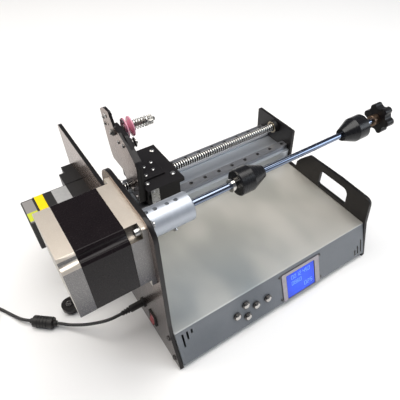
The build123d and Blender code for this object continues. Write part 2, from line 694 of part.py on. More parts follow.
def winding_shaft():
    """The long ground shaft that carries the bobbin between its cones, threaded at its free end."""
    shaft = rod_x((SHAFT_START, SHAFT_END), SPINDLE_Y, SPINDLE_Z, SHAFT_R)
    return chamfer(shaft.edges().filter_by(GeomType.CIRCLE), 0.6)


def cone(x, way):
    """A centring cone; its big end is at x and its tip points the given way (+1 or -1)."""
    profile = [
        (0, COLLAR_R + THREAD_CLEAR), (0, CONE_R - 1.2), (way * 1.2, CONE_R), (way * CONE_RIM_L, CONE_R),
        (way * CONE_L, CONE_TIP_R), (way * CONE_L, SHAFT_R + RUN_CLEAR), (way * COLLAR_IN, SHAFT_R + RUN_CLEAR),
        (way * COLLAR_IN, COLLAR_R + THREAD_CLEAR),
    ]
    return turned_x(x, SPINDLE_Y, SPINDLE_Z, profile)


def cone_collar(x, way):
    """The metal collar set in a cone's big end, with the screw that clamps it on the shaft."""
    profile = [
        (way * COLLAR_IN, SHAFT_R + RUN_CLEAR), (way * COLLAR_IN, COLLAR_R), (-way * COLLAR_OUT, COLLAR_R),
        (-way * COLLAR_OUT, SHAFT_R + RUN_CLEAR),
    ]
    ring = turned_x(x, SPINDLE_Y, SPINDLE_Z, profile)
    middle = x - way * COLLAR_OUT / 2
    return ring - rod_z(middle, SPINDLE_Y, (SPINDLE_Z + SHAFT_R, SPINDLE_Z + COLLAR_R + 1), 1.3)


def knob_sleeve():
    """The metal sleeve that the star knob pushes along the shaft."""
    profile = [
        (-SLEEVE_L, SHAFT_R + RUN_CLEAR), (-SLEEVE_L, SLEEVE_R - 0.5), (-SLEEVE_L + 0.5, SLEEVE_R),
        (-GAP, SLEEVE_R), (-GAP, SHAFT_R + RUN_CLEAR),
    ]
    return turned_x(KNOB_X, SPINDLE_Y, SPINDLE_Z, profile)


def star_knob():
    """The six-lobed hand knob that screws along the end of the shaft."""
    lobes = 6
    lobe_r = 5.4
    star = Circle(KNOB_R - 4.6)
    for number in range(lobes):
        turn = 2 * math.pi * number / lobes
        reach = KNOB_R - lobe_r
        star += Pos(reach * math.cos(turn), reach * math.sin(turn)) * Circle(lobe_r)
        mid = turn + math.pi / lobes
        star -= Pos((KNOB_R + 2.2) * math.cos(mid), (KNOB_R + 2.2) * math.sin(mid)) * Circle(7.4)
    body = extrude(Plane.YZ.offset(KNOB_X) * Pos(SPINDLE_Y, SPINDLE_Z) * star, amount=KNOB_T)
    return body - rod_x((KNOB_X - 1, KNOB_X + KNOB_T + 1), SPINDLE_Y, SPINDLE_Z, SHAFT_R + RUN_CLEAR)


# ---------------------------------------------------------------- linear module
def module_base():
    """The aluminium profile across the machine, with a channel under the screw and a grooved front."""
    x = (PLATE_T, RIGHT_X)
    base = box(x, (BASE_FRONT, BASE_FRONT + BASE_W), (TOP_Z, BASE_TOP))
    base -= box((x[0] - 1, x[1] + 1), (SCREW_Y - 14, SCREW_Y + 14), (BASE_TOP - 3, BASE_TOP + 1))
    groove_z = TOP_Z + BASE_H * 0.54
    for y in (BASE_FRONT, BASE_FRONT + BASE_W):
        base -= box((x[0] - 1, x[1] + 1), (y - 1.2, y + 1.2), (groove_z - 0.8, groove_z + 0.8))
    for y, z in BASE_SCREWS:
        base -= rod_x((x[0] - 1, x[0] + 14), y, z, BASE_SCREW_R + THREAD_CLEAR)
        base -= rod_x((x[1] - 14, x[1] + 1), y, z, BASE_SCREW_R + THREAD_CLEAR)
    for rail_y in RAIL_YS:
        for rail_x in rail_screw_xs():
            base -= rod_z(rail_x, rail_y, (BASE_TOP - 6, BASE_TOP + 1), RAIL_SCREW_R + THREAD_CLEAR)
    return base


def rail_screw_xs():
    """X of the rail's screws, one pitch apart."""
    count = int((CABINET_W - 2 * RAIL_END_GAP - RAIL_FIRST_HOLE) // RAIL_PITCH) + 1
    return [PLATE_T + RAIL_FIRST_HOLE + number * RAIL_PITCH for number in range(count)]


def linear_rails():
    """Two profile rails with grooved flanks and counterbored holes."""
    x = (PLATE_T + RAIL_END_GAP, RIGHT_X - RAIL_END_GAP)
    group = []
    for rail_y in RAIL_YS:
        rail = box(x, (rail_y - RAIL_W / 2, rail_y + RAIL_W / 2), (BASE_TOP, RAIL_TOP))
        for a in (-1, 1):
            rail -= rod_x((x[0] - 1, x[1] + 1), rail_y + a * RAIL_W / 2, BASE_TOP + RAIL_H * 0.55, 1.3)
        for hole_x in rail_screw_xs():
            rail -= rod_z(hole_x, rail_y, (BASE_TOP - 1, RAIL_TOP + 1), RAIL_SCREW_R + SCREW_CLEAR)
            rail -= rod_z(hole_x, rail_y, (RAIL_TOP - 4.5, RAIL_TOP + 1), RAIL_HEAD_R + SCREW_CLEAR)
        group.append(rail)
    return Compound(group)


def screw_bearings():
    """The screw's two bearing housings, one on the inner face of each side plate."""
    group = []
    for x in (PLATE_T, RIGHT_X - BEARING_T):
        bore = JOURNAL_R + RUN_CLEAR
        profile = [(0, bore), (0, BEARING_R), (BEARING_T, BEARING_R), (BEARING_T, bore)]
        group.append(turned_x(x, SCREW_Y, SCREW_Z, profile))
    return Compound(group)


SERVO_SHAFT_L = 26.0
COUPLING_ENDS = (-18.0, -1.0)                             # X of the screw coupling
SHAFT_MEET = -9.5                                         # where the two shaft ends face each other


def ball_screw():
    """The screw that drives the carriage, turned down at both ends for its bearings."""
    left = PLATE_T + BEARING_T + GAP
    right = RIGHT_X - BEARING_T - GAP
    screw = rod_x((left, right), SCREW_Y, SCREW_Z, SCREW_R)
    screw += rod_x((SHAFT_MEET + GAP, left + 1), SCREW_Y, SCREW_Z, JOURNAL_R)
    return screw + rod_x((right - 1, RIGHT_X - GAP), SCREW_Y, SCREW_Z, JOURNAL_R)


def screw_coupling():
    """The coupling between the servo and the screw, with the servo's own shaft."""
    ring = rod_x(COUPLING_ENDS, SCREW_Y, SCREW_Z, SCREW_COUPLING_R)
    ring -= rod_x((COUPLING_ENDS[0] - 1, COUPLING_ENDS[1] + 1), SCREW_Y, SCREW_Z, JOURNAL_R + THREAD_CLEAR)
    shaft = rod_x((-SERVO_SHAFT_L, SHAFT_MEET - GAP), SCREW_Y, SCREW_Z, JOURNAL_R)
    return Compound([ring, shaft])


def servo_motor():
    """The servo that turns the screw, with its stepped connector block next to the plate."""
    body = square_bar((-SERVO_BODY_L, 0), SCREW_Y, SCREW_Z, SERVO_SIDE, 3.0)
    back = SCREW_Y + SERVO_SIDE / 2
    body += box((-24.0, 0), (back - 1, back + 24.0), (SCREW_Z + 6.0, SCREW_Z + SERVO_SIDE / 2))
    body += box((-15.0, 0), (back + 23.0, back + 47.0), (SCREW_Z + 6.0, SCREW_Z + 18.0))
    body -= rod_x((COUPLING_ENDS[0] - 2.0, 1), SCREW_Y, SCREW_Z, SCREW_COUPLING_BORE)
    body -= rod_x((-SERVO_SHAFT_L - 1.0, 1), SCREW_Y, SCREW_Z, JOURNAL_R + RUN_CLEAR)
    for y, z in SERVO_SCREWS:
        body -= rod_x((-11.0, 1), y, z, PLATE_SCREW_R + THREAD_CLEAR)
    return body


def servo_cap():
    """The cover of the servo's electronics, at its rear."""
    cap = square_bar((-SERVO_BODY_L - SERVO_CAP_L, -SERVO_BODY_L), SCREW_Y, SCREW_Z, SERVO_SIDE - 1.0, 3.0)
    edge = cap.faces().sort_by(Axis.X)[0].edges()
    return chamfer(edge, 1.2)


# ---------------------------------------------------------------- carriage
def guide_blocks():
    """The two ball carriages that run on the rails."""
    middle = CARRIAGE_X + BLOCK_L / 2
    x = (middle - GUIDE_L / 2, middle + GUIDE_L / 2)
    low = BASE_TOP + GUIDE_Z
    group = []
    for rail_y in RAIL_YS:
        block = box(x, (rail_y - GUIDE_W / 2, rail_y + GUIDE_W / 2), (low, low + GUIDE_H))
        half = RAIL_W / 2 + SLIDE_CLEAR
        block -= box((x[0] - 1, x[1] + 1), (rail_y - half, rail_y + half), (low - 1, RAIL_TOP + SLIDE_CLEAR))
        group.append(block)
    return Compound(group)


NUT_SCREW_HALF = 8.2


def carriage_block():
    """The black block that ties the two guide blocks and the ball nut together."""
    x = (CARRIAGE_X, CARRIAGE_X + BLOCK_L)
    block = box(x, (BLOCK_FRONT, BLOCK_FRONT + BLOCK_W), (BLOCK_Z, TABLE_Z))
    half = RAIL_HALF_GAUGE - GUIDE_W / 2 - GAP
    block += box(x, (SCREW_Y - half, SCREW_Y + half), (SCREW_Z - NUT_R - 4.0, BLOCK_Z + 1))
    block -= rod_x((x[0] - 1, x[1] + 1), SCREW_Y, SCREW_Z, NUT_R + THREAD_CLEAR)
    for y, z in corners(SCREW_Y, SCREW_Z, NUT_SCREW_HALF + 3, NUT_SCREW_HALF - 2):
        block -= rod_x((x[1] - 9, x[1] + 1), y, z, 1.5 + THREAD_CLEAR)
    for x_screw, y in TABLE_SCREWS:
        block -= rod_z(x_screw, y, (TABLE_Z - 12, TABLE_Z + 1), PLATE_SCREW_R + THREAD_CLEAR)
    for y, z in ARM_SCREWS:
        block -= rod_x((x[0] - 1, x[0] + 9), y, z, PLATE_SCREW_R + THREAD_CLEAR)
    return block


TABLE_SCREWS = tuple((CARRIAGE_X + x, y) for x in (7.0, 47.0) for y in (TABLE_FRONT + 16.0, TABLE_BACK - 13.2))
ARM_SCREWS = ((199.0, BLOCK_Z + 10.0), (209.5, BLOCK_Z + 17.0))
FOOT_SCREWS = tuple((CARRIAGE_X + x, y) for x, y in ((12.4, 209.0), (26.5, 215.2), (18.0, 226.5), (31.5, 231.0)))
TAB_X = CARRIAGE_X + 4.0
TAB_W = 12.0


def ball_nut():
    """The nut on the screw, with a flange cut flat at its top and bottom."""
    x = (CARRIAGE_X + 0.5, CARRIAGE_X + BLOCK_L)
    nut = rod_x(x, SCREW_Y, SCREW_Z, NUT_R)
    flange = rod_x((x[1], x[1] + 6.0), SCREW_Y, SCREW_Z, NUT_FLANGE_R)
    flat = NUT_R + 1.0
    flange &= box((x[1] - 1, x[1] + 7), (0, 2 * SCREW_Y), (SCREW_Z - flat, SCREW_Z + flat))
    for y, z in corners(SCREW_Y, SCREW_Z, NUT_SCREW_HALF + 3, NUT_SCREW_HALF - 2):
        flange -= rod_x((x[1] - 1, x[1] + 7), y, z, 1.5 + SCREW_CLEAR)
    return nut + flange - rod_x((x[0] - 1, x[1] + 7), SCREW_Y, SCREW_Z, SCREW_R + RUN_CLEAR)


def carriage_plate():
    """The black table plate on top of the carriage."""
    plate = box((CARRIAGE_X, CARRIAGE_X + TABLE_L), (TABLE_FRONT, TABLE_BACK), (TABLE_Z, TABLE_TOP))
    for x, y in TABLE_SCREWS:
        plate -= rod_z(x, y, (TABLE_Z - 1, TABLE_TOP + 1), PLATE_SCREW_R + SCREW_CLEAR)
    for x, y in FOOT_SCREWS:
        plate -= rod_z(x, y, (TABLE_Z + 0.5, TABLE_TOP + 1), 1.5 + THREAD_CLEAR)
    tab_screw = (TAB_X + 3.5, TABLE_Z + TABLE_T / 2)
    plate -= rod_y(tab_screw[0], (TABLE_FRONT - 1, TABLE_FRONT + 7), tab_screw[1], 1.2 + THREAD_CLEAR)
    return plate


def limit_tab():
    """The bent metal tab on the carriage's front that marks its home position."""
    t = 1.2
    drop = 24.0
    y = (TABLE_FRONT - t, TABLE_FRONT)
    tab = box((TAB_X, TAB_X + TAB_W), y, (TABLE_TOP - drop, TABLE_TOP))
    tab += box((TAB_X, TAB_X + TAB_W), (y[0] - 8.0, y[1]), (TABLE_TOP - drop, TABLE_TOP - drop + t))
    return tab - rod_y(TAB_X + 3.5, (y[0] - 1, y[1] + 1), TABLE_Z + TABLE_T / 2, 1.2 + SCREW_CLEAR)


LEG_BACK = SCREW_Y - SCREW_R - 1.0                        # clear of the ball screw
LEG = [(190.0, 107.0), (LEG_BACK, 107.0), (LEG_BACK, 122.0)]   # lower end of both upright plates, (Y, Z)
FRONT_EDGE = [(184.8, 180.0), (182.0, 172.0), (186.0, 140.0)]


def through_holes(x, spots):
    """Holes through an upright plate: (Y, Z, radius)."""
    return [rod_x((x[0] - 1, x[1] + 1), y, z, radius) for y, z, radius in spots]


UPRIGHT_HOLES = (
    (TENSION_Y, TENSION_Z, TENSION_ROD_R + THREAD_CLEAR),
    (PULLEY_Y, PULLEY_Z, 1.5 + SCREW_CLEAR),
    (229.5, 187.0, 1.5 + SCREW_CLEAR),
) + tuple((y, z, PLATE_SCREW_R + SCREW_CLEAR) for y, z in ARM_SCREWS)
TONGUE_HOLES = ((272.5, 202.8, 1.5 + SCREW_CLEAR), (270.2, 193.9, 1.5 + SCREW_CLEAR))


def guide_plate():
    """The tall glossy plate on the carriage's left side that the wire comes over."""
    outline = LEG + [
        (225.0, 125.0), (233.5, 137.2), (267.0, 137.2), (271.0, 145.0), (276.0, 171.0), (278.5, 202.0),
        (280.0, 212.2), (265.5, 221.0), (249.5, 221.5), (240.0, 203.5), (225.0, 203.5), (206.0, 196.0),
    ] + FRONT_EDGE
    radii = [2, 2, 2, 2, 2, 3, 6, 10, 6, 2, 3, 2, 4, 4, 8, 3, 8, 4]
    x = (GUIDE_PLATE_X, ARM_X)
    plate = slab_x(x, outline, radii)
    holes = UPRIGHT_HOLES + TONGUE_HOLES + ((262.5, 210.0, 2.1), (256.0, 199.6, 1.6))
    return plate - through_holes(x, holes)


def tension_arm():
    """The thicker black plate behind it, which carries the tension unit and the guide wheel."""
    outline = LEG + [
        (225.0, 137.0), (238.0, 160.0), (251.0, 180.0), (251.0, 203.5), (213.0, 203.5), (200.0, 190.0),
    ] + FRONT_EDGE
    x = (ARM_X, CARRIAGE_X)
    arm = slab_x(x, outline, [2, 2, 2, 5, 5, 5, 3, 6, 4, 3, 8, 4])
    arm -= through_holes(x, UPRIGHT_HOLES)
    for y in BRACKET_SCREW_YS:
        arm -= rod_x((x[0] - 1, x[1] + 1), y, BRACKET_SCREW_Z, 1.5 + THREAD_CLEAR)
    return arm


BRACKET_T = 3.0
BRACKET_SCREW_YS = (206.0, 220.0)
BRACKET_SCREW_Z = TABLE_TOP + 14.0


def guide_bracket():
    """The angle bracket that ties the upright plates to the table plate."""
    y = (201.0, 237.0)
    foot = box((CARRIAGE_X, CARRIAGE_X + 38.0), y, (TABLE_TOP, TABLE_TOP + BRACKET_T))
    leg = box((CARRIAGE_X, CARRIAGE_X + BRACKET_T), (y[0], 225.0), (TABLE_TOP, TABLE_TOP + 22.0))
    bracket = foot + leg
    for x, y_screw in FOOT_SCREWS:
        bracket -= rod_z(x, y_screw, (TABLE_TOP - 1, TABLE_TOP + BRACKET_T + 1), 1.5 + SCREW_CLEAR)
    for y_screw in BRACKET_SCREW_YS:
        bracket -= rod_x(
            (CARRIAGE_X - 1, CARRIAGE_X + BRACKET_T + 1), y_screw, BRACKET_SCREW_Z, 1.5 + SCREW_CLEAR
        )
    return bracket


def carriage_screws():
    """Every fastener on the carriage, with the guide wheel's axle and the wire eye."""
    group = [button_head_z(x, y, TABLE_TOP, 1, PLATE_SCREW_R, 16.0) for x, y in TABLE_SCREWS]
    top = TABLE_TOP + BRACKET_T
    group += [button_head_z(x, y, top, 1, 1.5, 7.5) for x, y in FOOT_SCREWS]
    group += [button_head_x(GUIDE_PLATE_X, y, z, -1, PLATE_SCREW_R, 17.0) for y, z in ARM_SCREWS]
    inner = CARRIAGE_X + BRACKET_T
    group += [button_head_x(inner, y, BRACKET_SCREW_Z, 1, 1.5, BRACKET_T + 4.5) for y in BRACKET_SCREW_YS]
    flange = CARRIAGE_X + BLOCK_L + 6.0
    nut_screws = corners(SCREW_Y, SCREW_Z, NUT_SCREW_HALF + 3, NUT_SCREW_HALF - 2)
    group += [button_head_x(flange, y, z, 1, 1.5, 13.0) for y, z in nut_screws]
    for y, z, _ in TONGUE_HOLES:
        bolt = button_head_x(GUIDE_PLATE_X, y, z, -1, 1.5, GUIDE_PLATE_T + 4.0)
        group.append(bolt + nut_x(ARM_X, y, z))
    bolt = button_head_x(GUIDE_PLATE_X, 229.5, 187.0, -1, 1.5, GUIDE_PLATE_T + ARM_T + 3.5)
    group.append(bolt + nut_x(CARRIAGE_X, 229.5, 187.0))
    axle = button_head_x(GUIDE_PLATE_X, PULLEY_Y, PULLEY_Z, -1, 1.5, PULLEY_X + PULLEY_T + 3.0 - GUIDE_PLATE_X)
    axle += rod_x((CARRIAGE_X, PULLEY_X - GAP), PULLEY_Y, PULLEY_Z, 3.0)
    group.append(axle + rod_x((PULLEY_X + PULLEY_T + GAP, PULLEY_X + PULLEY_T + 2.8), PULLEY_Y, PULLEY_Z, 3.0))
    eye = turned_x(GUIDE_PLATE_X, 262.5, 210.0, [
        (-0.9, 1.3), (-0.9, 3.2), (0, 3.2), (0, 2.08), (GUIDE_PLATE_T, 2.08), (GUIDE_PLATE_T, 3.6),
        (GUIDE_PLATE_T + 4.0, 3.6), (GUIDE_PLATE_T + 4.0, 1.3),
    ])
    group.append(eye)
    tab_screw = button_head_x(0, 0, 0, 1, 1.2, 7.0)
    group.append(Pos(TAB_X + 3.5, TABLE_FRONT - 1.2, TABLE_Z + TABLE_T / 2) * Rot(0, 0, -90) * tab_screw)
    return Compound(group)


def nut_x(x, y, z):
    """A small hexagon nut along X."""
    return extrude(Plane.YZ.offset(x) * Pos(y, z) * RegularPolygon(3.1, 6), amount=2.4)


PULLEY_X = CARRIAGE_X + 2.0


def wire_pulley():
    """The grooved wheel that turns the wire towards the bobbin."""
    half = PULLEY_T / 2
    profile = [
        (0, 1.5 + RUN_CLEAR), (0, PULLEY_R), (half - 1.4, PULLEY_R), (half, PULLEY_R - 2.6), (half + 1.4, PULLEY_R),
        (PULLEY_T, PULLEY_R), (PULLEY_T, 1.5 + RUN_CLEAR),
    ]
    return turned_x(PULLEY_X, PULLEY_Y, PULLEY_Z, profile)


# ---------------------------------------------------------------- wire tension unit
SHOULDER_R = 4.0
DISC_X = CARRIAGE_X + 5.3                                 # left face of the inner disc's rim
DISC_MIDDLE = DISC_X + DISC_T + DISC_DISH                 # plane between the two discs
SPRING_X = DISC_MIDDLE + DISC_DISH + DISC_T + 2 * GAP     # left end of the spring
WASHER_X = SPRING_X + SPRING_L
WASHER_T = 1.0
NUT_X = WASHER_X + WASHER_T + GAP / 2
ROD_END = NUT_X + THUMB_NUT_L + 4.5


def tension_rod():
    """The threaded rod of the tension unit, with its nut on the guide plate and a shoulder."""
    start = GUIDE_PLATE_X - 5.5
    rod = rod_x((start, ROD_END), TENSION_Y, TENSION_Z, TENSION_ROD_R)
    rod = chamfer(rod.edges().filter_by(GeomType.CIRCLE), 0.4)
    rod += extrude(Plane.YZ.offset(GUIDE_PLATE_X - 3.8) * Pos(TENSION_Y, TENSION_Z) * RegularPolygon(4.6, 6), amount=3.8)
    return rod + rod_x((CARRIAGE_X, DISC_X - GAP), TENSION_Y, TENSION_Z, SHOULDER_R)


def tension_disc(way):
    """A dished plastic disc; the two meet at their hubs and spread at their rims."""
    inner = GAP / 2
    bore = TENSION_ROD_R + RUN_CLEAR
    profile = [
        (inner, bore), (inner, 4.0), (DISC_DISH + 0.3, DISC_R), (DISC_DISH + DISC_T - 0.2, DISC_R),
        (DISC_DISH + DISC_T - 0.2, DISC_R - 1.4), (DISC_T + 0.6, 6.0), (DISC_T + DISC_DISH, 5.0),
        (DISC_T + DISC_DISH, bore),
    ]
    return turned_x(DISC_MIDDLE, TENSION_Y, TENSION_Z, [(way * along, radius) for along, radius in profile])


def biarc(p0, t0, p1, t1):
    """Two arcs from p0 to p1 that leave along t0 and arrive along t1."""
    v = p1 - p0
    t = t0 + t1
    lead = 2 * (1 - t0.dot(t1))
    d = (math.sqrt(v.dot(t) ** 2 + lead * v.dot(v)) - v.dot(t)) / lead
    a = p0 + t0 * d
    b = p1 - t1 * d
    joint = (a + b) * 0.5
    return [corner_arc(p0, a, joint), corner_arc(joint, b, p1)]


def corner_arc(start, corner, end):
    """The arc that starts and ends tangent to the two equal sides of a corner."""
    half = math.radians((corner - start).get_angle(end - corner)) / 2
    side = (corner - start).length
    radius = side / math.tan(half)
    middle = (start + end) * 0.5 - corner
    reach = side / math.sin(half) - radius
    return ThreePointArc(start, corner + middle.normalized() * reach, end)


def tube(path, radius):
    """A round tube along a path."""
    return sweep(Plane(origin=path @ 0, z_dir=path % 0) * Circle(radius), path=path)


def least_gap(path, radius, loop_length):
    """The least gap between turns of a wound tube, measured on points along it."""
    count = int(path.length / 1.5)
    points = [path @ (number / count) for number in range(count + 1)]
    apart = int(0.6 * loop_length / 1.5)
    least = min(
        (points[i] - points[j]).length
        for i in range(0, count + 1, 2) for j in range(i + apart, count + 1)
    )
    return least - 2 * radius


def tension_spring():
    """The open coil spring around the rod, with straight ends of one wire diameter."""
    lead = 2 * SPRING_WIRE_R
    span = SPRING_L - 2 * SPRING_WIRE_R - 0.2
    steps = 4 * SPRING_TURNS
    slope = span / (SPRING_TURNS * 2 * math.pi * SPRING_R)
    points = []
    for number in range(steps + 1):
        turn = 2 * math.pi * number / 4
        place = Vector(
            SPRING_X + SPRING_WIRE_R + 0.1 + span * number / steps,
            TENSION_Y + SPRING_R * math.cos(turn), TENSION_Z + SPRING_R * math.sin(turn),
        )
        way = Vector(slope, -math.sin(turn), math.cos(turn)).normalized()
        points.append((place, way))
    edges = [Line(points[0][0] - points[0][1] * lead, points[0][0])]
    for (p0, t0), (p1, t1) in zip(points, points[1:]):
        edges += biarc(p0, t0, p1, t1)
    edges.append(Line(points[-1][0], points[-1][0] + points[-1][1] * lead))
    path = Wire(edges)
    print("tension spring: least gap", round(least_gap(path, SPRING_WIRE_R, 2 * math.pi * SPRING_R), 2))
    return tube(path, SPRING_WIRE_R)


def tension_washer():
    """The washer between the spring and the thumb nut."""
    ring = rod_x((WASHER_X, WASHER_X + WASHER_T), TENSION_Y, TENSION_Z, SPRING_R + 1.0)
    return ring - rod_x((WASHER_X - 1, WASHER_X + WASHER_T + 1), TENSION_Y, TENSION_Z, TENSION_ROD_R + RUN_CLEAR)


def thumb_nut():
    """The knurled nut that sets the wire's tension."""
    x = (NUT_X, NUT_X + THUMB_NUT_L)
    nut = rod_x((x[0], x[0] + 2.5), TENSION_Y, TENSION_Z, THUMB_NUT_R - 1.6)
    rim = Circle(THUMB_NUT_R)
    ribs = 24
    for number in range(ribs):
        turn = 2 * math.pi * number / ribs
        rim -= Pos(THUMB_NUT_R * math.cos(turn), THUMB_NUT_R * math.sin(turn)) * Circle(0.45)
    nut += extrude(Plane.YZ.offset(x[0] + 2.0) * Pos(TENSION_Y, TENSION_Z) * rim, amount=THUMB_NUT_L - 2.0)
    return nut - rod_x((x[0] - 1, x[1] + 1), TENSION_Y, TENSION_Z, TENSION_ROD_R + RUN_CLEAR)


# ---------------------------------------------------------------- the frame's own screws
def frame_screws():
    """Every small fixed screw of the frame, and the rails' screws."""
    group = []
    for y, z in COVER_SCREWS:
        group.append(button_head_x(0, y, z, -1, PLATE_SCREW_R, PLATE_T + SHEET_T + 1.5))
        group.append(button_head_x(RIGHT_X + PLATE_T, y, z, 1, PLATE_SCREW_R, PLATE_T + SHEET_T + 1.5))
    for y, z in BASE_SCREWS:
        group.append(button_head_x(0, y, z, -1, BASE_SCREW_R, PLATE_T + 13.0))
        group.append(button_head_x(RIGHT_X + PLATE_T, y, z, 1, BASE_SCREW_R, PLATE_T + 13.0))
    group += [button_head_x(PLATE_T, y, z, 1, PLATE_SCREW_R, PLATE_T + 10.0) for y, z in SERVO_SCREWS]
    group += [button_head_x(PLATE_T, y, z, 1, BAR_SCREW_R, PLATE_T + 12.0) for y, z in BAR_SCREWS]
    for x, y in floor_screw_spots():
        group.append(button_head_z(x, y, PANEL_RISE, -1, FLOOR_SCREW_R, 2 * SHEET_T + 2.0))
    for x, s in display_screw_spots():
        screw = peg(DISPLAY_SCREW_R, DISPLAY_PCB_H - PCB_T - 1.5, 0.5) + peg(DISPLAY_HEAD_R, 0, 0.9) - peg(0.8, 0.4, 1.5)
        group.append(on_panel(x, s, 0, screw + peg(DISPLAY_HEAD_R, DISPLAY_PCB_H, -SHEET_T - 0.02)))
    group.append(button_head_z(FOOT_X, FOOT_Y, FOOT_H + BAR_T, 1, FOOT_SCREW_R, BAR_T + FOOT_H - 2.5))
    for rail_y in RAIL_YS:
        for x in rail_screw_xs():
            head = rod_z(x, rail_y, (RAIL_TOP - 4.4, RAIL_TOP - 1.4), RAIL_HEAD_R)
            head -= rod_z(x, rail_y, (RAIL_TOP - 3.0, RAIL_TOP), 1.3)
            group.append(head + rod_z(x, rail_y, (BASE_TOP - 5.5, RAIL_TOP - 3.4), RAIL_SCREW_R))
    return Compound(group)


# ---------------------------------------------------------------- power lead
PLUG_END = -2.0 - PLUG_L - RELIEF_L                       # X where the lead leaves the plug
FERRITE_MIDDLE = Vector(-120.2, 157.4, FERRITE_R)
FERRITE_WAY = Vector(-0.765, 0.644, 0).normalized()
FERRITE_REACH = FERRITE_HALF_L + FERRITE_COLLAR_L
FERRITE_RIGHT = FERRITE_MIDDLE - FERRITE_WAY * FERRITE_REACH
FERRITE_LEFT = FERRITE_MIDDLE + FERRITE_WAY * FERRITE_REACH
BRICK_X = -250.0                                          # its end face, towards the coil
BRICK_Y = 265.0
BRICK_RELIEF_L = 12.0


def dc_plug():
    """The moulded barrel plug with its ribbed, tapering strain relief."""
    reach = [
        (0, 0), (0, PLUG_R - 0.5), (-0.6, PLUG_R), (-PLUG_L + 1.0, PLUG_R), (-PLUG_L, PLUG_R - 0.8),
        (-PLUG_L, 0),
    ]
    plug = turned_x(-2.0, JACK_Y, JACK_Z, reach)
    taper = [(-PLUG_L + 0.5, 0), (-PLUG_L + 0.5, 3.0), (-PLUG_L - RELIEF_L, LEAD_R + 0.4), (-PLUG_L - RELIEF_L, 0)]
    plug += turned_x(-2.0, JACK_Y, JACK_Z, taper)
    for number in range(3):
        along = -PLUG_L - 1.4 - 3.6 * number
        radius = 3.9 - 0.35 * number
        rib = [(along, 0), (along, radius), (along - 2.0, radius), (along - 2.0, 0)]
        plug += turned_x(-2.0, JACK_Y, JACK_Z, rib)
    barrel = rod_x((-2.5, 9.5), JACK_Y, JACK_Z, BARREL_R) - rod_x((-1.5, 10.5), JACK_Y, JACK_Z, 1.25)
    return plug + barrel


def lead_tube(name, points):
    """A free stretch of the lead: straight runs joined by arcs as large as the runs allow."""
    radii = []
    for before, here, after in zip(points, points[1:], points[2:]):
        turn = math.radians((here - before).get_angle(after - here))
        run = min((here - before).length, (after - here).length)
        radii.append(0.45 * run / math.tan(turn / 2))
    path = Wire(FilletPolyline(*points, radius=radii).edges())
    solid = tube(path, LEAD_R)
    print(name, "radii", [round(radius, 1) for radius in radii], "length", round(path.length, 1))
    print(name, "volume over section x length", round(solid.volume / (math.pi * LEAD_R ** 2 * path.length), 4))
    return solid, path.length


LEAD_TO_FERRITE = [
    Vector(PLUG_END, JACK_Y, JACK_Z), Vector(-39.0, 93.0, 35.0), Vector(-46.5, 94.4, 33.6),
    Vector(-54.3, 98.4, 30.4), Vector(-62.0, 104.3, 25.6), Vector(-70.0, 111.3, 20.2), Vector(-78.0, 118.9, 15.0),
    Vector(-86.0, 126.8, 11.0), Vector(-94.0, 134.0, 8.6), FERRITE_RIGHT - FERRITE_WAY * 8.0, FERRITE_RIGHT,
]


def coil_spot(half_turns, radius, layer):
    """A point of the coil and its direction there, after so many half turns."""
    turn = math.radians(COIL_TURN_DEG) + math.pi * half_turns
    place = Vector(
        COIL_X + radius * math.cos(turn), COIL_Y + radius * math.sin(turn),
        LEAD_R + 0.1 + COIL_RISE * layer,
    )
    return place, Vector(-math.sin(turn), math.cos(turn), 0)


def coil_path():
    """The lead's spare length: in along the table, one climbing half turn, and out again on top."""
    radius = COIL_R_START
    spots = [coil_spot(0, radius, 0)]
    for _ in range(COIL_HALF_TURNS_IN):
        radius -= COIL_PITCH / 2
        spots.append(coil_spot(len(spots), radius, 0))
    spots.append(coil_spot(len(spots), radius, 1))
    for _ in range(COIL_HALF_TURNS_OUT):
        radius += COIL_PITCH / 2
        spots.append(coil_spot(len(spots), radius, 1))
    edges = [Line(spots[0][0] - spots[0][1] * 2 * LEAD_R, spots[0][0])]
    for (p0, t0), (p1, t1) in zip(spots, spots[1:]):
        edges += biarc(p0, t0, p1, t1)
    edges.append(Line(spots[-1][0], spots[-1][0] + spots[-1][1] * 2 * LEAD_R))
    return Wire(edges)


def ferrite_core():
    """The moulded interference filter on the lead, with a collar at each end."""
    plane = Plane(origin=FERRITE_MIDDLE, x_dir=FERRITE_WAY, z_dir=(0, 0, 1))
    body = Rot(0, 90, 0) * Cylinder(FERRITE_R - 0.1, 2 * FERRITE_HALF_L)
    body = fillet(body.edges().filter_by(GeomType.CIRCLE), 1.6)
    for step in range(FERRITE_RIBS):
        x = (step - (FERRITE_RIBS - 1) / 2) * FERRITE_RIB_PITCH
        groove = Cylinder(FERRITE_R + 1, 1.6) - Cylinder(FERRITE_R - 0.8, 1.6)
        body -= Pos(x, 0, 0) * Rot(0, 90, 0) * groove
    body += Rot(0, 90, 0) * Cylinder(3.6, 2 * FERRITE_REACH)
    return plane.location * body


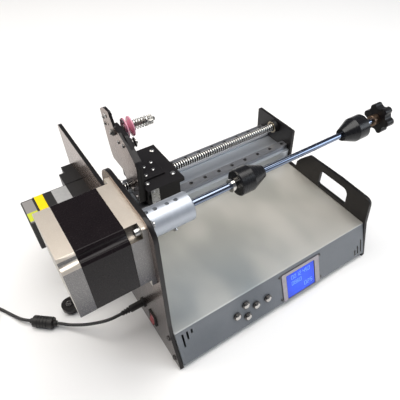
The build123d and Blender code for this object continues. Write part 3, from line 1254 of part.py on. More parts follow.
def power_brick():
    """The desktop power supply with its strain relief and mains inlet."""
    x = (BRICK_X - BRICK_L, BRICK_X)
    case = box(x, (BRICK_Y - BRICK_W / 2, BRICK_Y + BRICK_W / 2), (0, BRICK_H))
    case = fillet(case.edges().filter_by(Axis.X), 4.0)
    case = fillet(case.edges().filter_by(GeomType.LINE).filter_by(Axis.Y), 1.5)
    middle = BRICK_H / 2
    case -= box((x[0] - 1, x[0] + 16.0), (BRICK_Y - 12.5, BRICK_Y + 12.5), (middle - 8.5, middle + 8.5))
    for y in (-7.0, 0, 7.0):
        case += box((x[0] + 3.0, x[0] + 17.0), (BRICK_Y + y - 1.0, BRICK_Y + y + 1.0), (middle - 3.0, middle + 1.0))
    relief = [(0, 0), (0, 4.6), (BRICK_RELIEF_L, LEAD_R + 0.6), (BRICK_RELIEF_L, 0)]
    return case + turned_x(BRICK_X - 0.1, BRICK_Y, BRICK_H / 2, relief)


# ---------------------------------------------------------------- build every piece
parts["left_side_plate"] = left_side_plate()
parts["right_side_plate"] = right_side_plate()
parts["cabinet_cover"] = cabinet_cover()
parts["bottom_plate"] = bottom_plate()
parts["frame_screws"] = frame_screws()
parts["display_bezel"] = display_bezel()
parts["display_panel"] = display_panel()
parts["button_housings"] = button_housings()
for name, (x, s) in BUTTONS.items():
    parts[name] = button(x, s)
parts["rocker_housing"] = rocker_housing()
parts["rocker"] = rocker()
parts["dc_jack"] = dc_jack()
parts["control_board"] = control_board()
parts["outrigger_bar"] = outrigger_bar()
parts["outrigger_foot"] = outrigger_foot()
parts["motor_end_bells"] = motor_end_bells()
parts["motor_stack"] = motor_section((MOTOR_X, -MOTOR_FLANGE_L))
parts["motor_bolts"] = motor_bolts()
parts["motor_shaft"] = motor_shaft()
parts["shaft_coupling"] = shaft_coupling()
parts["coupling_screws"] = coupling_screws()
parts["winding_shaft"] = winding_shaft()
parts["left_cone"] = cone(LEFT_CONE_X, 1)
parts["left_cone_collar"] = cone_collar(LEFT_CONE_X, 1)
parts["right_cone"] = cone(RIGHT_CONE_X, -1)
parts["right_cone_collar"] = cone_collar(RIGHT_CONE_X, -1)
parts["knob_sleeve"] = knob_sleeve()
parts["star_knob"] = star_knob()
parts["module_base"] = module_base()
parts["linear_rails"] = linear_rails()
parts["screw_bearings"] = screw_bearings()
parts["ball_screw"] = ball_screw()
parts["screw_coupling"] = screw_coupling()
parts["servo_motor"] = servo_motor()
parts["servo_cap"] = servo_cap()
parts["guide_blocks"] = guide_blocks()
parts["carriage_block"] = carriage_block()
parts["ball_nut"] = ball_nut()
parts["carriage_plate"] = carriage_plate()
parts["carriage_screws"] = carriage_screws()
parts["limit_tab"] = limit_tab()
parts["guide_plate"] = guide_plate()
parts["tension_arm"] = tension_arm()
parts["guide_bracket"] = guide_bracket()
parts["wire_pulley"] = wire_pulley()
parts["tension_rod"] = tension_rod()
parts["inner_tension_disc"] = tension_disc(-1)
parts["outer_tension_disc"] = tension_disc(1)
parts["tension_spring"] = tension_spring()
parts["tension_washer"] = tension_washer()
parts["thumb_nut"] = thumb_nut()

parts["dc_plug"] = dc_plug()
parts["ferrite_core"] = ferrite_core()
coil = coil_path()
lead_start, start_length = lead_tube("lead to the ferrite", LEAD_TO_FERRITE)
lead_middle, middle_length = lead_tube("lead to the coil", [
    FERRITE_LEFT, FERRITE_LEFT + FERRITE_WAY * 7.0, Vector(-144.8, 180.2, 6.4), Vector(-148.9, 187.6, 4.4),
    Vector(-152.4, 194.1, 2.9), Vector(-156.0, 200.6, LEAD_R + 0.1), Vector(-160.2, 208.0, LEAD_R + 0.1),
    Vector(-165.2, 216.0, LEAD_R + 0.1), coil @ 0 - (coil % 0) * 10.0, coil @ 0,
])
lead_last, last_length = lead_tube("lead to the power supply", [
    coil @ 1, coil @ 1 + (coil % 1) * 9.0, Vector(-191.0, 257.5, 9.5), Vector(-203.0, 262.5, 11.5),
    Vector(-215.0, 264.6, 13.6), Vector(-227.0, BRICK_Y, BRICK_H / 2),
    Vector(BRICK_X + BRICK_RELIEF_L - 0.1, BRICK_Y, BRICK_H / 2),
])
parts["power_lead"] = Compound([lead_start, lead_middle, lead_last])
parts["lead_coil"] = tube(coil, LEAD_R)
parts["power_brick"] = power_brick()
print("coil: least gap", round(least_gap(coil, LEAD_R, 2 * math.pi * COIL_R_START / 2), 2))
print("coil length", round(coil.length, 1), "whole lead", round(
    start_length + middle_length + last_length + coil.length + 2 * FERRITE_REACH, 1
))

# ---------------------------------------------------------------- write, about the machine's middle
ON_LEAD = ("dc_plug", "ferrite_core", "power_lead", "lead_coil", "power_brick")
boxes = [shape.bounding_box() for name, shape in parts.items() if name not in ON_LEAD]
middle_x = (min(b.min.X for b in boxes) + max(b.max.X for b in boxes)) / 2
middle_y = (min(b.min.Y for b in boxes) + max(b.max.Y for b in boxes)) / 2
print("origin at", round(middle_x, 3), round(middle_y, 3))
os.makedirs("parts", exist_ok=True)
for name, shape in parts.items():
    solids = [Pos(-middle_x, -middle_y, 0) * solid for solid in shape.solids()]
    export_step(solids[0] if len(solids) == 1 else Compound(solids), f"parts/{name}.step")
print(len(parts), "nodes")
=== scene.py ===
import math

import bmesh
import bpy
from mathutils import Matrix, Vector


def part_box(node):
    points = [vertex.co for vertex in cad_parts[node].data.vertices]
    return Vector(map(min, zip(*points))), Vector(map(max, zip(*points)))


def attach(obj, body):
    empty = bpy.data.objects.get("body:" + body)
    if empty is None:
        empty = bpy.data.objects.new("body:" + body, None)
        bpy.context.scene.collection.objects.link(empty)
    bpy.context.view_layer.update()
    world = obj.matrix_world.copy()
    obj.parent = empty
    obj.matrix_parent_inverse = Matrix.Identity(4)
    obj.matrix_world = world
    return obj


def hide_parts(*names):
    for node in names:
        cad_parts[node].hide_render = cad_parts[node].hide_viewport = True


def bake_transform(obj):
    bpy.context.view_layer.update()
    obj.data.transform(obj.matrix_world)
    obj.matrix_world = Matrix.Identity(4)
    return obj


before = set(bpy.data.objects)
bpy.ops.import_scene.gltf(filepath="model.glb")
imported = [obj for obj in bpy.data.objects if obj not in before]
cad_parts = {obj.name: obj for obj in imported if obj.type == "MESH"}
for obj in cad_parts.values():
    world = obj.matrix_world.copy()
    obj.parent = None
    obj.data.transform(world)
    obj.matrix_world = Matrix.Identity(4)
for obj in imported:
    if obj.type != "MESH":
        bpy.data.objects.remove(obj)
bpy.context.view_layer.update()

# ---------------------------------------------------------------- camera
# The view of the photograph: from the front left and well above, through a medium lens.
# Its picture centre lies a little beside the lens axis, because the photograph was cropped.
camera_data = bpy.data.cameras.new("photograph_view")
camera_data.sensor_width = 36.0
camera_data.lens = 37.371
camera_data.shift_x = -0.0323
camera_data.shift_y = 0.0175
camera_data.clip_start = 0.02
camera = bpy.data.objects.new("photograph_view", camera_data)
bpy.context.scene.collection.objects.link(camera)
camera_right = Vector((0.832487, -0.553948, -0.010333))
camera_up = Vector((0.395578, 0.581220, 0.711127))
camera_place = Vector((-0.230092, -0.362481, 0.505867))
camera_turn = Matrix((camera_right, camera_up, camera_right.cross(camera_up))).transposed().to_4x4()
camera.matrix_world = Matrix.Translation(camera_place) @ camera_turn
bpy.context.scene.camera = camera


# ---------------------------------------------------------------- power lead
# A round two-core lead in black vinyl, 1.2 m long, from the plug in the left plate to the power supply.
# It lies over the table and through the filter, and its spare length is wound into a coil of two layers.
class Value:
    """A number or colour inside a finish. An expression on values adds the finish's own maths."""

    def __init__(self, owner, socket):
        self.owner = owner
        self.socket = socket

    def maths(self, operation, *others):
        return self.owner.add("ShaderNodeMath", {"operation": operation}, [self, *others])

    def __add__(self, other):
        return self.maths("ADD", other)

    __radd__ = __add__

    def __sub__(self, other):
        return self.maths("SUBTRACT", other)

    def __rsub__(self, other):
        return self.owner.add("ShaderNodeMath", {"operation": "SUBTRACT"}, [other, self])

    def __mul__(self, other):
        return self.maths("MULTIPLY", other)

    __rmul__ = __mul__

    def __truediv__(self, other):
        return self.maths("DIVIDE", other)

    def __pow__(self, other):
        return self.maths("POWER", other)

    def __gt__(self, other):
        return self.maths("GREATER_THAN", other)

    def __lt__(self, other):
        return self.maths("LESS_THAN", other)

    def size(self):
        return self.maths("ABSOLUTE")

    def part(self):
        return self.maths("FRACT")

    def at_least(self, other):
        return self.maths("MAXIMUM", other)

    def rise(self, low, high):
        """0 below low, 1 above high, with a smooth step between."""
        settings = {"interpolation_type": "SMOOTHSTEP"}
        limits = {"Value": self, "From Min": low, "From Max": high}
        return self.owner.add("ShaderNodeMapRange", settings, limits)

    def inside(self, low, high, edge):
        """1 between low and high, with soft edges."""
        return self.rise(low - edge, low + edge) * (1 - self.rise(high - edge, high + edge))


class Nodes:
    """A tree of nodes that is added to from top to bottom."""

    def __init__(self, tree):
        self.tree = tree

    def add(self, kind, settings=None, values=(), output=0):
        """Adds one node: its settings first, then the values or links of its sockets."""
        node = self.tree.nodes.new(kind)
        for name, setting in (settings or {}).items():
            if name == "stops":
                while len(node.color_ramp.elements) < len(setting):
                    node.color_ramp.elements.new(1.0)
                for stop, (place, colour) in zip(node.color_ramp.elements, setting):
                    stop.position = place
                    stop.color = (*colour, 1.0)
            else:
                setattr(node, name, setting)
        pairs = values.items() if isinstance(values, dict) else enumerate(values)
        for socket, value in pairs:
            if isinstance(value, Value):
                self.tree.links.new(value.socket, node.inputs[socket])
            elif isinstance(value, tuple) and len(value) == 3 and node.inputs[socket].type == "RGBA":
                node.inputs[socket].default_value = (*value, 1.0)
            else:
                node.inputs[socket].default_value = value
        return Value(self, node.outputs[output]) if node.outputs else None

    def split(self, vector):
        """The three numbers of a vector."""
        node = self.add("ShaderNodeSeparateXYZ", values=[vector]).socket.node
        return [Value(self, socket) for socket in node.outputs]


class Finish(Nodes):
    """One surface finish of the machine, with its colour, sheen and fine relief."""

    def __init__(self, name, **fixed):
        self.material = bpy.data.materials.new(name)
        self.material.use_nodes = True
        super().__init__(self.material.node_tree)
        self.tree.nodes.clear()
        self.shader = self.tree.nodes.new("ShaderNodeBsdfPrincipled")
        output = self.tree.nodes.new("ShaderNodeOutputMaterial")
        self.tree.links.new(self.shader.outputs[0], output.inputs[0])
        self.spot = self.add("ShaderNodeTexCoord", output=3)
        for name, value in fixed.items():
            self.set(name.replace("_", " "), value)

    def set(self, name, value):
        """Gives one of the shader's own sockets a fixed value or a varying one."""
        socket = self.shader.inputs[name]
        if isinstance(value, Value):
            self.tree.links.new(value.socket, socket)
        elif isinstance(value, tuple):
            socket.default_value = (*value, 1.0)
        else:
            socket.default_value = value

    def axes(self):
        """The three lengths of a point, in metres."""
        return self.split(self.spot)

    def facing(self):
        """How far the surface faces along each axis."""
        return self.split(self.add("ShaderNodeTexCoord", output=1))

    def grain(self, size, detail=2.0, stretch=(1, 1, 1), rough=0.5):
        """Uneven speckle of a size in metres, stretched along the axes as asked."""
        scale = tuple(1 / (size * s) for s in stretch)
        moved = self.add("ShaderNodeMapping", values={"Vector": self.spot, "Scale": scale})
        return self.add("ShaderNodeTexNoise", values={
            "Vector": moved, "Scale": 1.0, "Detail": detail, "Roughness": rough,
        })

    def blend(self, share, first, second):
        """One colour turning into another by a share."""
        return self.add("ShaderNodeMix", {"data_type": "RGBA"}, {0: share, 6: first, 7: second}, output=2)

    def relief(self, height, depth, strength=1.0):
        """Fine relief of a depth in metres."""
        self.set("Normal", self.add("ShaderNodeBump", values={
            "Strength": strength, "Distance": depth, "Height": height,
        }))


def dress(finish, *names):
    """Puts a finish on the machine's own CAD nodes."""
    for name in names:
        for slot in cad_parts[name].material_slots:
            slot.material = finish.material


vinyl = Finish("black_vinyl", Specular_IOR_Level=0.45)
vinyl_cloud = vinyl.grain(0.012)
vinyl.set("Base Color", vinyl.blend(vinyl_cloud, (0.012, 0.012, 0.013), (0.026, 0.025, 0.025)))
vinyl.set("Roughness", 0.34 + 0.2 * vinyl.grain(0.003))
vinyl.relief(vinyl.grain(0.0006), 0.00006, 0.5)

LEAD_D = 0.0042
lead_points = [
    (-0.17550, -0.05947, 0.03500), (-0.18250, -0.05947, 0.03500), (-0.19000, -0.05807, 0.03360),
    (-0.19780, -0.05407, 0.03040), (-0.20550, -0.04817, 0.02560), (-0.21350, -0.04117, 0.02020),
    (-0.22150, -0.03357, 0.01500), (-0.22950, -0.02567, 0.01100), (-0.23750, -0.01847, 0.00860),
    (-0.24381, -0.01181, 0.00800), (-0.24993, -0.00666, 0.00800),
    (-0.27747, 0.01652, 0.00800), (-0.28283, 0.02103, 0.00800), (-0.28830, 0.02773, 0.00640),
    (-0.29240, 0.03513, 0.00440), (-0.29590, 0.04163, 0.00290), (-0.29950, 0.04813, 0.00220),
    (-0.30370, 0.05553, 0.00220), (-0.30870, 0.06353, 0.00220), (-0.31472, 0.07273, 0.00220),
    (-0.31972, 0.08139, 0.00220),
]
COIL_X, COIL_Y = -0.34780, 0.07003
COIL_R = 0.030                       # of the outer turn, to the middle of the lead
COIL_START = math.radians(30)        # where the lead comes in
COIL_INSET = 0.0028                  # how much further in each half turn lies
LAYER_Z, LAYER_RISE = 0.0022, 0.0052
HALF_TURNS_DOWN, HALF_TURNS = 5, 12  # in the lower layer and in all
COIL_STEPS = 8                       # points in each half turn
for step in range(HALF_TURNS * COIL_STEPS + 1):
    half_turns = step / COIL_STEPS
    inward = min(half_turns, HALF_TURNS_DOWN)
    climb = min(max(half_turns - HALF_TURNS_DOWN, 0), 1)
    outward = max(half_turns - HALF_TURNS_DOWN - 1, 0)
    radius = COIL_R - COIL_INSET * inward + COIL_INSET * outward
    angle = COIL_START + math.pi * half_turns
    lead_points.append((
        COIL_X + radius * math.cos(angle), COIL_Y + radius * math.sin(angle), LAYER_Z + LAYER_RISE * climb,
    ))
lead_points += [
    (-0.32149, 0.09007, 0.00740), (-0.32599, 0.09786, 0.00740), (-0.33450, 0.10503, 0.00950),
    (-0.34650, 0.11003, 0.01150), (-0.35850, 0.11213, 0.01360), (-0.37050, 0.11253, 0.01550),
    (-0.38160, 0.11253, 0.01550),
]
lead_line = bpy.data.curves.new("power_lead_vinyl", "CURVE")
lead_line.dimensions = "3D"
lead_spline = lead_line.splines.new("NURBS")
lead_spline.points.add(len(lead_points) - 1)
for point, place in zip(lead_spline.points, lead_points):
    point.co = (*place, 1.0)
lead_spline.order_u = 3
lead_spline.use_endpoint_u = True
lead_spline.resolution_u = 6
lead_line.bevel_depth = LEAD_D / 2
lead_line.bevel_resolution = 5
lead_line.use_fill_caps = True
lead_line.materials.append(vinyl.material)
lead = bpy.data.objects.new("power_lead_vinyl", lead_line)
bpy.context.scene.collection.objects.link(lead)
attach(lead, "frame")
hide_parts("power_lead", "lead_coil")


# ---------------------------------------------------------------- plug, filter and power supply
# Moulded in black plastic with a fine spark-eroded grain that leaves them almost matt.
# The plug and the filter are moulded round the lead, the supply is a closed case of two halves, and the
# socket in the left plate is of the same plastic.
moulded = Finish("moulded_black_plastic", Specular_IOR_Level=0.5)
moulded.set("Base Color", moulded.blend(moulded.grain(0.02), (0.008, 0.007, 0.007), (0.018, 0.016, 0.015)))
moulded.set("Roughness", 0.42 + 0.22 * moulded.grain(0.0015))
moulded.relief(moulded.grain(0.0005, 3.0), 0.00008, 0.6)
dress(moulded, "dc_plug", "ferrite_core", "power_brick", "dc_jack")


# ---------------------------------------------------------------- side plates
# Two 5 mm aluminium plates, cut to shape and black anodised. Their outer left faces carry a painted brownish,
# slightly cloudy sheen, a painted reflection that is painted darker towards the table. The cut edges and the
# other faces are duller and black.
plate_finish = Finish("black_anodised_plate", Specular_IOR_Level=0.28)
plate_x, _, plate_z = plate_finish.axes()
# Painted sheen: a painted reflection on faces looking left, not on the right plate, painted lighter higher
# up.
painted_sheen_faces = (plate_finish.facing()[0] * -1).rise(0.6, 0.9) * (1 - plate_x.rise(0.10, 0.12))
cloud = plate_finish.grain(0.045, 3.0)
high = plate_z.rise(0.06, 0.20)
sheen = plate_finish.blend(cloud, (0.165, 0.118, 0.098), (0.300, 0.228, 0.192))
painted_low_sheen = plate_finish.blend(cloud, (0.030, 0.022, 0.021), (0.095, 0.068, 0.060))
painted_sheen_colour = plate_finish.blend(high, painted_low_sheen, sheen)
edge_colour = plate_finish.blend(plate_finish.grain(0.008), (0.005, 0.004, 0.005), (0.014, 0.012, 0.012))
plate_finish.set("Base Color", plate_finish.blend(painted_sheen_faces, edge_colour, painted_sheen_colour))
plate_finish.set("Metallic", 0.1 + 0.7 * painted_sheen_faces)
plate_finish.set("Roughness", 0.30 - 0.10 * painted_sheen_faces + 0.10 * plate_finish.grain(0.006, 3.0))
plate_finish.relief(plate_finish.grain(0.0012, 3.0), 0.00003, 0.3)
dress(plate_finish, "left_side_plate", "right_side_plate")


def break_edges(width, *names):
    """Breaks the sharp edges of CAD nodes by a small width in metres, as a file or a tumbler does."""
    for name in names:
        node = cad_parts[name]
        weld = node.modifiers.new("joined_corners", "WELD")
        weld.merge_threshold = 0.000002
        bevel = node.modifiers.new("broken_edges", "BEVEL")
        bevel.width = width
        bevel.segments = 2
        bevel.limit_method = "ANGLE"
        bevel.angle_limit = math.radians(40)
        bevel.use_clamp_overlap = True
        bevel.harden_normals = True


break_edges(0.0004, "left_side_plate", "right_side_plate")


# ---------------------------------------------------------------- frame screws
# Button-head and countersunk screws in blackened steel, worn bright on the rims of their heads.
# They are pressed down hard on the plates, the rails and the bar.
dark_steel = Finish("blackened_steel", Metallic=1.0)
dark_wear = dark_steel.grain(0.0012, 3.0).rise(0.48, 0.66)
dark_steel.set("Base Color", dark_steel.blend(dark_wear, (0.075, 0.072, 0.072), (0.30, 0.29, 0.28)))
dark_steel.set("Roughness", 0.44 - 0.14 * dark_wear)
dark_steel.relief(dark_steel.grain(0.0007), 0.00004, 0.4)
dress(dark_steel, "frame_screws")


# ---------------------------------------------------------------- cabinet cover
# One folded sheet of aluminium under a silver-grey powder coat: satin, a little metallic, with the fine
# orange peel of the spray. Its colour carries painted light and shade: lighter and warmer at the back of the
# top, bluer and darker towards its front left, darker and cooler on the sloping front panel. The floor plate
# is the same sheet, bare and brushed.
paint = Finish("silver_grey_powder_coat", Specular_IOR_Level=0.5, Coat_Roughness=0.25, Coat_Weight=0.15)
paint_x, paint_y, _ = paint.axes()
peel = paint.grain(0.0016, 3.0)
flake = paint.grain(0.00035, 2.0).rise(0.50, 0.72)
cloud_x = paint.grain(0.085, 2.0, stretch=(1, 1.6, 1), rough=0.4).rise(0.36, 0.64)
# Painted shade: faces looking forward, and the front of the top, get darker, cooler copies of the coat.
front = (paint.facing()[1] * -1).rise(0.5, 0.9)
front_shade_share = 1 - (paint_y + 0.45 * paint_x).rise(-0.20, 0.02)
painted_lit_top = paint.blend(cloud_x, (0.360, 0.352, 0.315), (0.510, 0.488, 0.440))
painted_shaded_top = paint.blend(cloud_x, (0.180, 0.215, 0.238), (0.340, 0.352, 0.350))
painted_shaded_panel = paint.blend(cloud_x, (0.120, 0.135, 0.155), (0.165, 0.180, 0.200))
coat_with_painted_light = paint.blend(front, paint.blend(front_shade_share, painted_lit_top, painted_shaded_top), painted_shaded_panel)
paint.set("Base Color", paint.blend(0.15 * flake, coat_with_painted_light, (0.62, 0.62, 0.60)))
paint.set("Metallic", 0.45 + 0.2 * flake)
paint.set("Roughness", 0.36 + 0.12 * peel)
paint.relief(peel, 0.00006, 0.3)
dress(paint, "cabinet_cover")

bare = Finish("brushed_aluminium", Metallic=1.0)
stroke = bare.grain(0.0011, 3.0, stretch=(60, 1, 1))
bare.set("Base Color", bare.blend(stroke, (0.50, 0.50, 0.50), (0.66, 0.66, 0.65)))
bare.set("Roughness", 0.30 + 0.2 * stroke)
bare.relief(stroke, 0.00004, 0.4)
dress(bare, "bottom_plate")


# ---------------------------------------------------------------- display
# A graphic display behind glass in a folded steel frame, held by four screws. Its backlight is deep blue,
# brighter towards the middle, and it shows rows of pale counting figures.
ORIGIN_X, ORIGIN_Y = 143.5, 152.467


def at(x, y, z):
    """A place on the machine, in millimetres from the left plate's face, the panel's foot and the table."""
    return Vector(((x - ORIGIN_X) / 1000, (y - ORIGIN_Y) / 1000, z / 1000))


PANEL_FOOT_Z = 7
PANEL_LEAN, PANEL_RISE = 16.2, 53.5
PANEL_UP = Vector((0, PANEL_LEAN, PANEL_RISE)).normalized()
PANEL_OUT = Vector((0, -PANEL_RISE, PANEL_LEAN)).normalized()


def on_panel(x, s, h):
    """A place on the sloping front panel: s up along it and h out of it, in millimetres."""
    return at(*(Vector((x, 0, PANEL_FOOT_Z)) + PANEL_UP * s + PANEL_OUT * h))


def new_piece(name, mesh, finish, body):
    """Links a finished mesh as a piece that rides on one body of the machine."""
    mesh.materials.clear()
    mesh.materials.append(finish.material)
    piece = bpy.data.objects.new(name, mesh)
    bpy.context.scene.collection.objects.link(piece)
    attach(piece, body)
    return piece


frame_steel = Finish("folded_frame_steel", Metallic=1.0)
frame_cloud = frame_steel.grain(0.006, 3.0)
frame_steel.set("Base Color", frame_steel.blend(frame_cloud, (0.30, 0.28, 0.30), (0.46, 0.43, 0.46)))
frame_steel.set("Roughness", 0.24 + 0.16 * frame_cloud)
frame_steel.relief(frame_steel.grain(0.0009), 0.00003, 0.4)
dress(frame_steel, "display_bezel")

glass = Finish("backlit_display_glass", Roughness=0.10, Specular_IOR_Level=0.6, Emission_Strength=0.95)
glass_x, _, glass_z = glass.axes()
GLASS_X, GLASS_Z = 0.0540, 0.0305
GLASS_HALF_X, GLASS_HALF_Z = 0.0254, 0.0197
PIXELS = 2500                        # in a metre
across = ((glass_x - GLASS_X) / GLASS_HALF_X).size()
along = ((glass_z - GLASS_Z) / GLASS_HALF_Z).size()
pixel_x = (glass_x * PIXELS).part().inside(0.12, 0.88, 0.08)
pixel = pixel_x * (glass_z * PIXELS).part().inside(0.12, 0.88, 0.08)
lit = (1 - across.rise(0.2, 1.1) * 0.45) * (1 - along.rise(0.2, 1.1) * 0.35)
glow = glass.blend(lit * (0.88 + 0.12 * pixel), (0.002, 0.012, 0.30), (0.004, 0.080, 1.0))
rim = across.rise(0.955, 0.975).at_least(along.rise(0.945, 0.965))
lit_face = (glass.facing()[1] * -1).rise(0.6, 0.8)
glass.set("Base Color", glass.blend(rim, (0.004, 0.02, 0.20), (0.012, 0.012, 0.02)))
glass.set("Emission Color", glass.blend(lit_face * (1 - rim), (0.0, 0.0, 0.0), glow))
dress(glass, "display_panel")

figures = Finish("display_figures", Roughness=0.2, Emission_Strength=0.9)
figure_cloud = figures.grain(0.004)
figures.set("Base Color", figures.blend(figure_cloud, (0.10, 0.25, 0.80), (0.16, 0.34, 0.90)))
figures.set("Emission Color", figures.blend(figure_cloud, (0.06, 0.20, 0.95), (0.12, 0.30, 1.0)))
LIT_BARS = {
    "0": "abcdef", "1": "bc", "2": "abged", "3": "abgcd", "4": "fgbc",
    "5": "afgcd", "6": "afgedc", "7": "abc", "8": "abcdefg", "9": "abcdfg",
}
BAR_PLACES = {
    "a": (0, 1, 1, 0), "b": (0.5, 0.5, 0, 1), "c": (0.5, -0.5, 0, 1), "d": (0, -1, 1, 0),
    "e": (-0.5, -0.5, 0, 1), "f": (-0.5, 0.5, 0, 1), "g": (0, 0, 1, 0),
}
BAR_SHARE = 0.10                     # half a bar's thickness, as a share of the figure's width
FIGURE_BACK, FIGURE_FACE = 0.705, 0.76
FIGURE_STEP = 1.55                   # from figure to figure, in widths
FIGURE_ROWS = [                      # middle of the first figure, figures, width and height
    (183.0, 36.5, "0012", 3.0, 6.0), (203.5, 36.5, "450", 3.0, 6.0), (183.0, 26.0, "0860", 3.0, 6.0),
    (205.0, 14.5, "025", 3.4, 6.4),
]
figure_mesh = bmesh.new()


def add_figure(sign, x, s, width, height):
    """Adds one figure made of straight bars, its middle at x and s on the display."""
    thick = width * BAR_SHARE
    for bar in LIT_BARS[sign]:
        shift_x, shift_s, flat, upright = BAR_PLACES[bar]
        mid_x = x + shift_x * width
        mid_s = s + shift_s * height / 2
        half_x = width / 2 - thick * 0.2 if flat else thick
        half_s = height / 4 - thick * 0.2 if upright else thick
        corners = [(-half_x, -half_s), (half_x, -half_s), (half_x, half_s), (-half_x, half_s)]
        low = [figure_mesh.verts.new(on_panel(mid_x + a, mid_s + b, FIGURE_BACK)) for a, b in corners]
        top = [figure_mesh.verts.new(on_panel(mid_x + a, mid_s + b, FIGURE_FACE)) for a, b in corners]
        figure_mesh.faces.new(list(reversed(low)))
        figure_mesh.faces.new(top)
        for k in range(4):
            figure_mesh.faces.new((low[k], low[(k + 1) % 4], top[(k + 1) % 4], top[k]))


for row_x, row_s, row_figures, wide, tall in FIGURE_ROWS:
    for place, sign in enumerate(row_figures):
        add_figure(sign, row_x + place * wide * FIGURE_STEP, row_s, wide, tall)
bmesh.ops.recalc_face_normals(figure_mesh, faces=figure_mesh.faces)
figures_shape = bpy.data.meshes.new("display_figures")
figure_mesh.to_mesh(figures_shape)
figure_mesh.free()
new_piece("display_figures", figures_shape, figures, "frame")


# ---------------------------------------------------------------- panel buttons
# Five short-stroke push buttons: domed caps of polished, chromed brass, each in a turned collar that is
# clamped from behind the panel.
chrome = Finish("polished_chrome", Metallic=1.0)
chrome_cloud = chrome.grain(0.004, 3.0)
chrome.set("Base Color", chrome.blend(chrome_cloud, (0.46, 0.44, 0.42), (0.66, 0.64, 0.60)))
chrome.set("Roughness", 0.04 + 0.06 * chrome_cloud)
chrome.relief(chrome.grain(0.002), 0.00002, 0.3)
dress(chrome, "button_left", "button_right", "button_up", "button_down", "button_enter")

collar_finish = Finish("turned_dark_nickel", Metallic=1.0)
collar_cloud = collar_finish.grain(0.0008, 3.0)
collar_finish.set("Base Color", collar_finish.blend(collar_cloud, (0.05, 0.048, 0.05), (0.22, 0.21, 0.20)))
collar_finish.set("Roughness", 0.22 + 0.18 * collar_cloud)
collar_finish.relief(collar_cloud, 0.00004, 0.4)
dress(collar_finish, "button_housings")


# ---------------------------------------------------------------- power switch
# A rocker switch snapped into the left plate: a black plastic case round a dark red key, which tips about
# its middle.
dress(moulded, "rocker_housing")

red_key = Finish("dark_red_plastic", Specular_IOR_Level=0.55)
red_cloud = red_key.grain(0.003)
red_key.set("Base Color", red_key.blend(red_cloud, (0.20, 0.010, 0.016), (0.30, 0.022, 0.030)))
red_key.set("Roughness", 0.24 + 0.18 * red_key.grain(0.0015))
red_key.relief(red_key.grain(0.0006), 0.00004, 0.5)
dress(red_key, "rocker")


# ---------------------------------------------------------------- control board
# Inside the cabinet, on four pressed-in standoffs: a glass-fibre board with a green solder mask over its
# copper runs, and black components on it.
board = Finish("green_circuit_board", Specular_IOR_Level=0.5)
board_x, board_y, _ = board.axes()
RUNS = 400                           # copper runs in a metre
runs = (board_x * RUNS).part().inside(0.3, 0.55, 0.05) * board.grain(0.02).rise(0.45, 0.5)
runs = runs.at_least((board_y * RUNS).part().inside(0.3, 0.55, 0.05) * board.grain(0.017).rise(0.5, 0.55))
board.set("Base Color", board.blend(runs * 0.7, (0.006, 0.075, 0.028), (0.030, 0.18, 0.07)))
board.set("Roughness", 0.30 + 0.15 * board.grain(0.002))
board.relief(runs, 0.00006, 0.5)
dress(board, "control_board")


# ---------------------------------------------------------------- outrigger
# A flat bar screwed to the left plate carries a rubber foot under the motors, so that they don't tip the
# machine. The bar is black like the plates, and the foot is dull moulded rubber.
# It takes the plates' finish, painted sheen on its left faces included.
dress(plate_finish, "outrigger_bar")
break_edges(0.0004, "outrigger_bar")

rubber = Finish("dull_rubber", Specular_IOR_Level=0.35)
rubber_cloud = rubber.grain(0.006, 3.0)
rubber.set("Base Color", rubber.blend(rubber_cloud, (0.018, 0.015, 0.014), (0.042, 0.036, 0.032)))
rubber.set("Roughness", 0.62 + 0.2 * rubber_cloud)
rubber.relief(rubber.grain(0.0007, 3.0), 0.0001, 0.7)
dress(rubber, "outrigger_foot")


# ---------------------------------------------------------------- spindle motor
# A square stepper motor. Its front flange and rear cap are die-cast aluminium, machined on the outside and
# faintly yellow, with painted light and shade: painted lighter and creamier on top, and painted dark on the
# front faces, darkest lower down. The core between is a pack of stamped sheets, varnished almost black.
cast = Finish("die_cast_aluminium", Metallic=0.85, Specular_IOR_Level=0.5)
cast_grain = cast.grain(0.0009, 4.0)
cast_cloud = cast.grain(0.03, 3.0)
# Painted light and shade: a lit cream copy on faces looking up, a shaded dark copy on faces looking forward.
cast_lit_top_share = cast.facing()[2].rise(0.3, 0.9)
cast_shaded_front_share = (cast.facing()[1] * -1).rise(0.75, 0.95)
cast_shade_low_share = 1 - cast.axes()[2].rise(0.150, 0.205)
cast_side = cast.blend(cast_cloud, (0.46, 0.43, 0.39), (0.60, 0.57, 0.52))
cast_shade = cast.blend(cast_shade_low_share, (0.20, 0.195, 0.195), (0.075, 0.075, 0.085))
cast_painted_lit_top = cast.blend(cast_cloud, (0.56, 0.50, 0.43), (0.72, 0.64, 0.55))
cast_lit_and_shaded = cast.blend(cast_shaded_front_share, cast.blend(cast_lit_top_share, cast_side, cast_painted_lit_top), cast_shade)
cast.set("Base Color", cast.blend(cast_grain.rise(0.5, 0.7) * 0.25, cast_lit_and_shaded, (0.80, 0.78, 0.74)))
cast.set("Roughness", 0.34 + 0.20 * cast_grain)
cast.relief(cast_grain, 0.00009, 0.5)
dress(cast, "motor_end_bells")

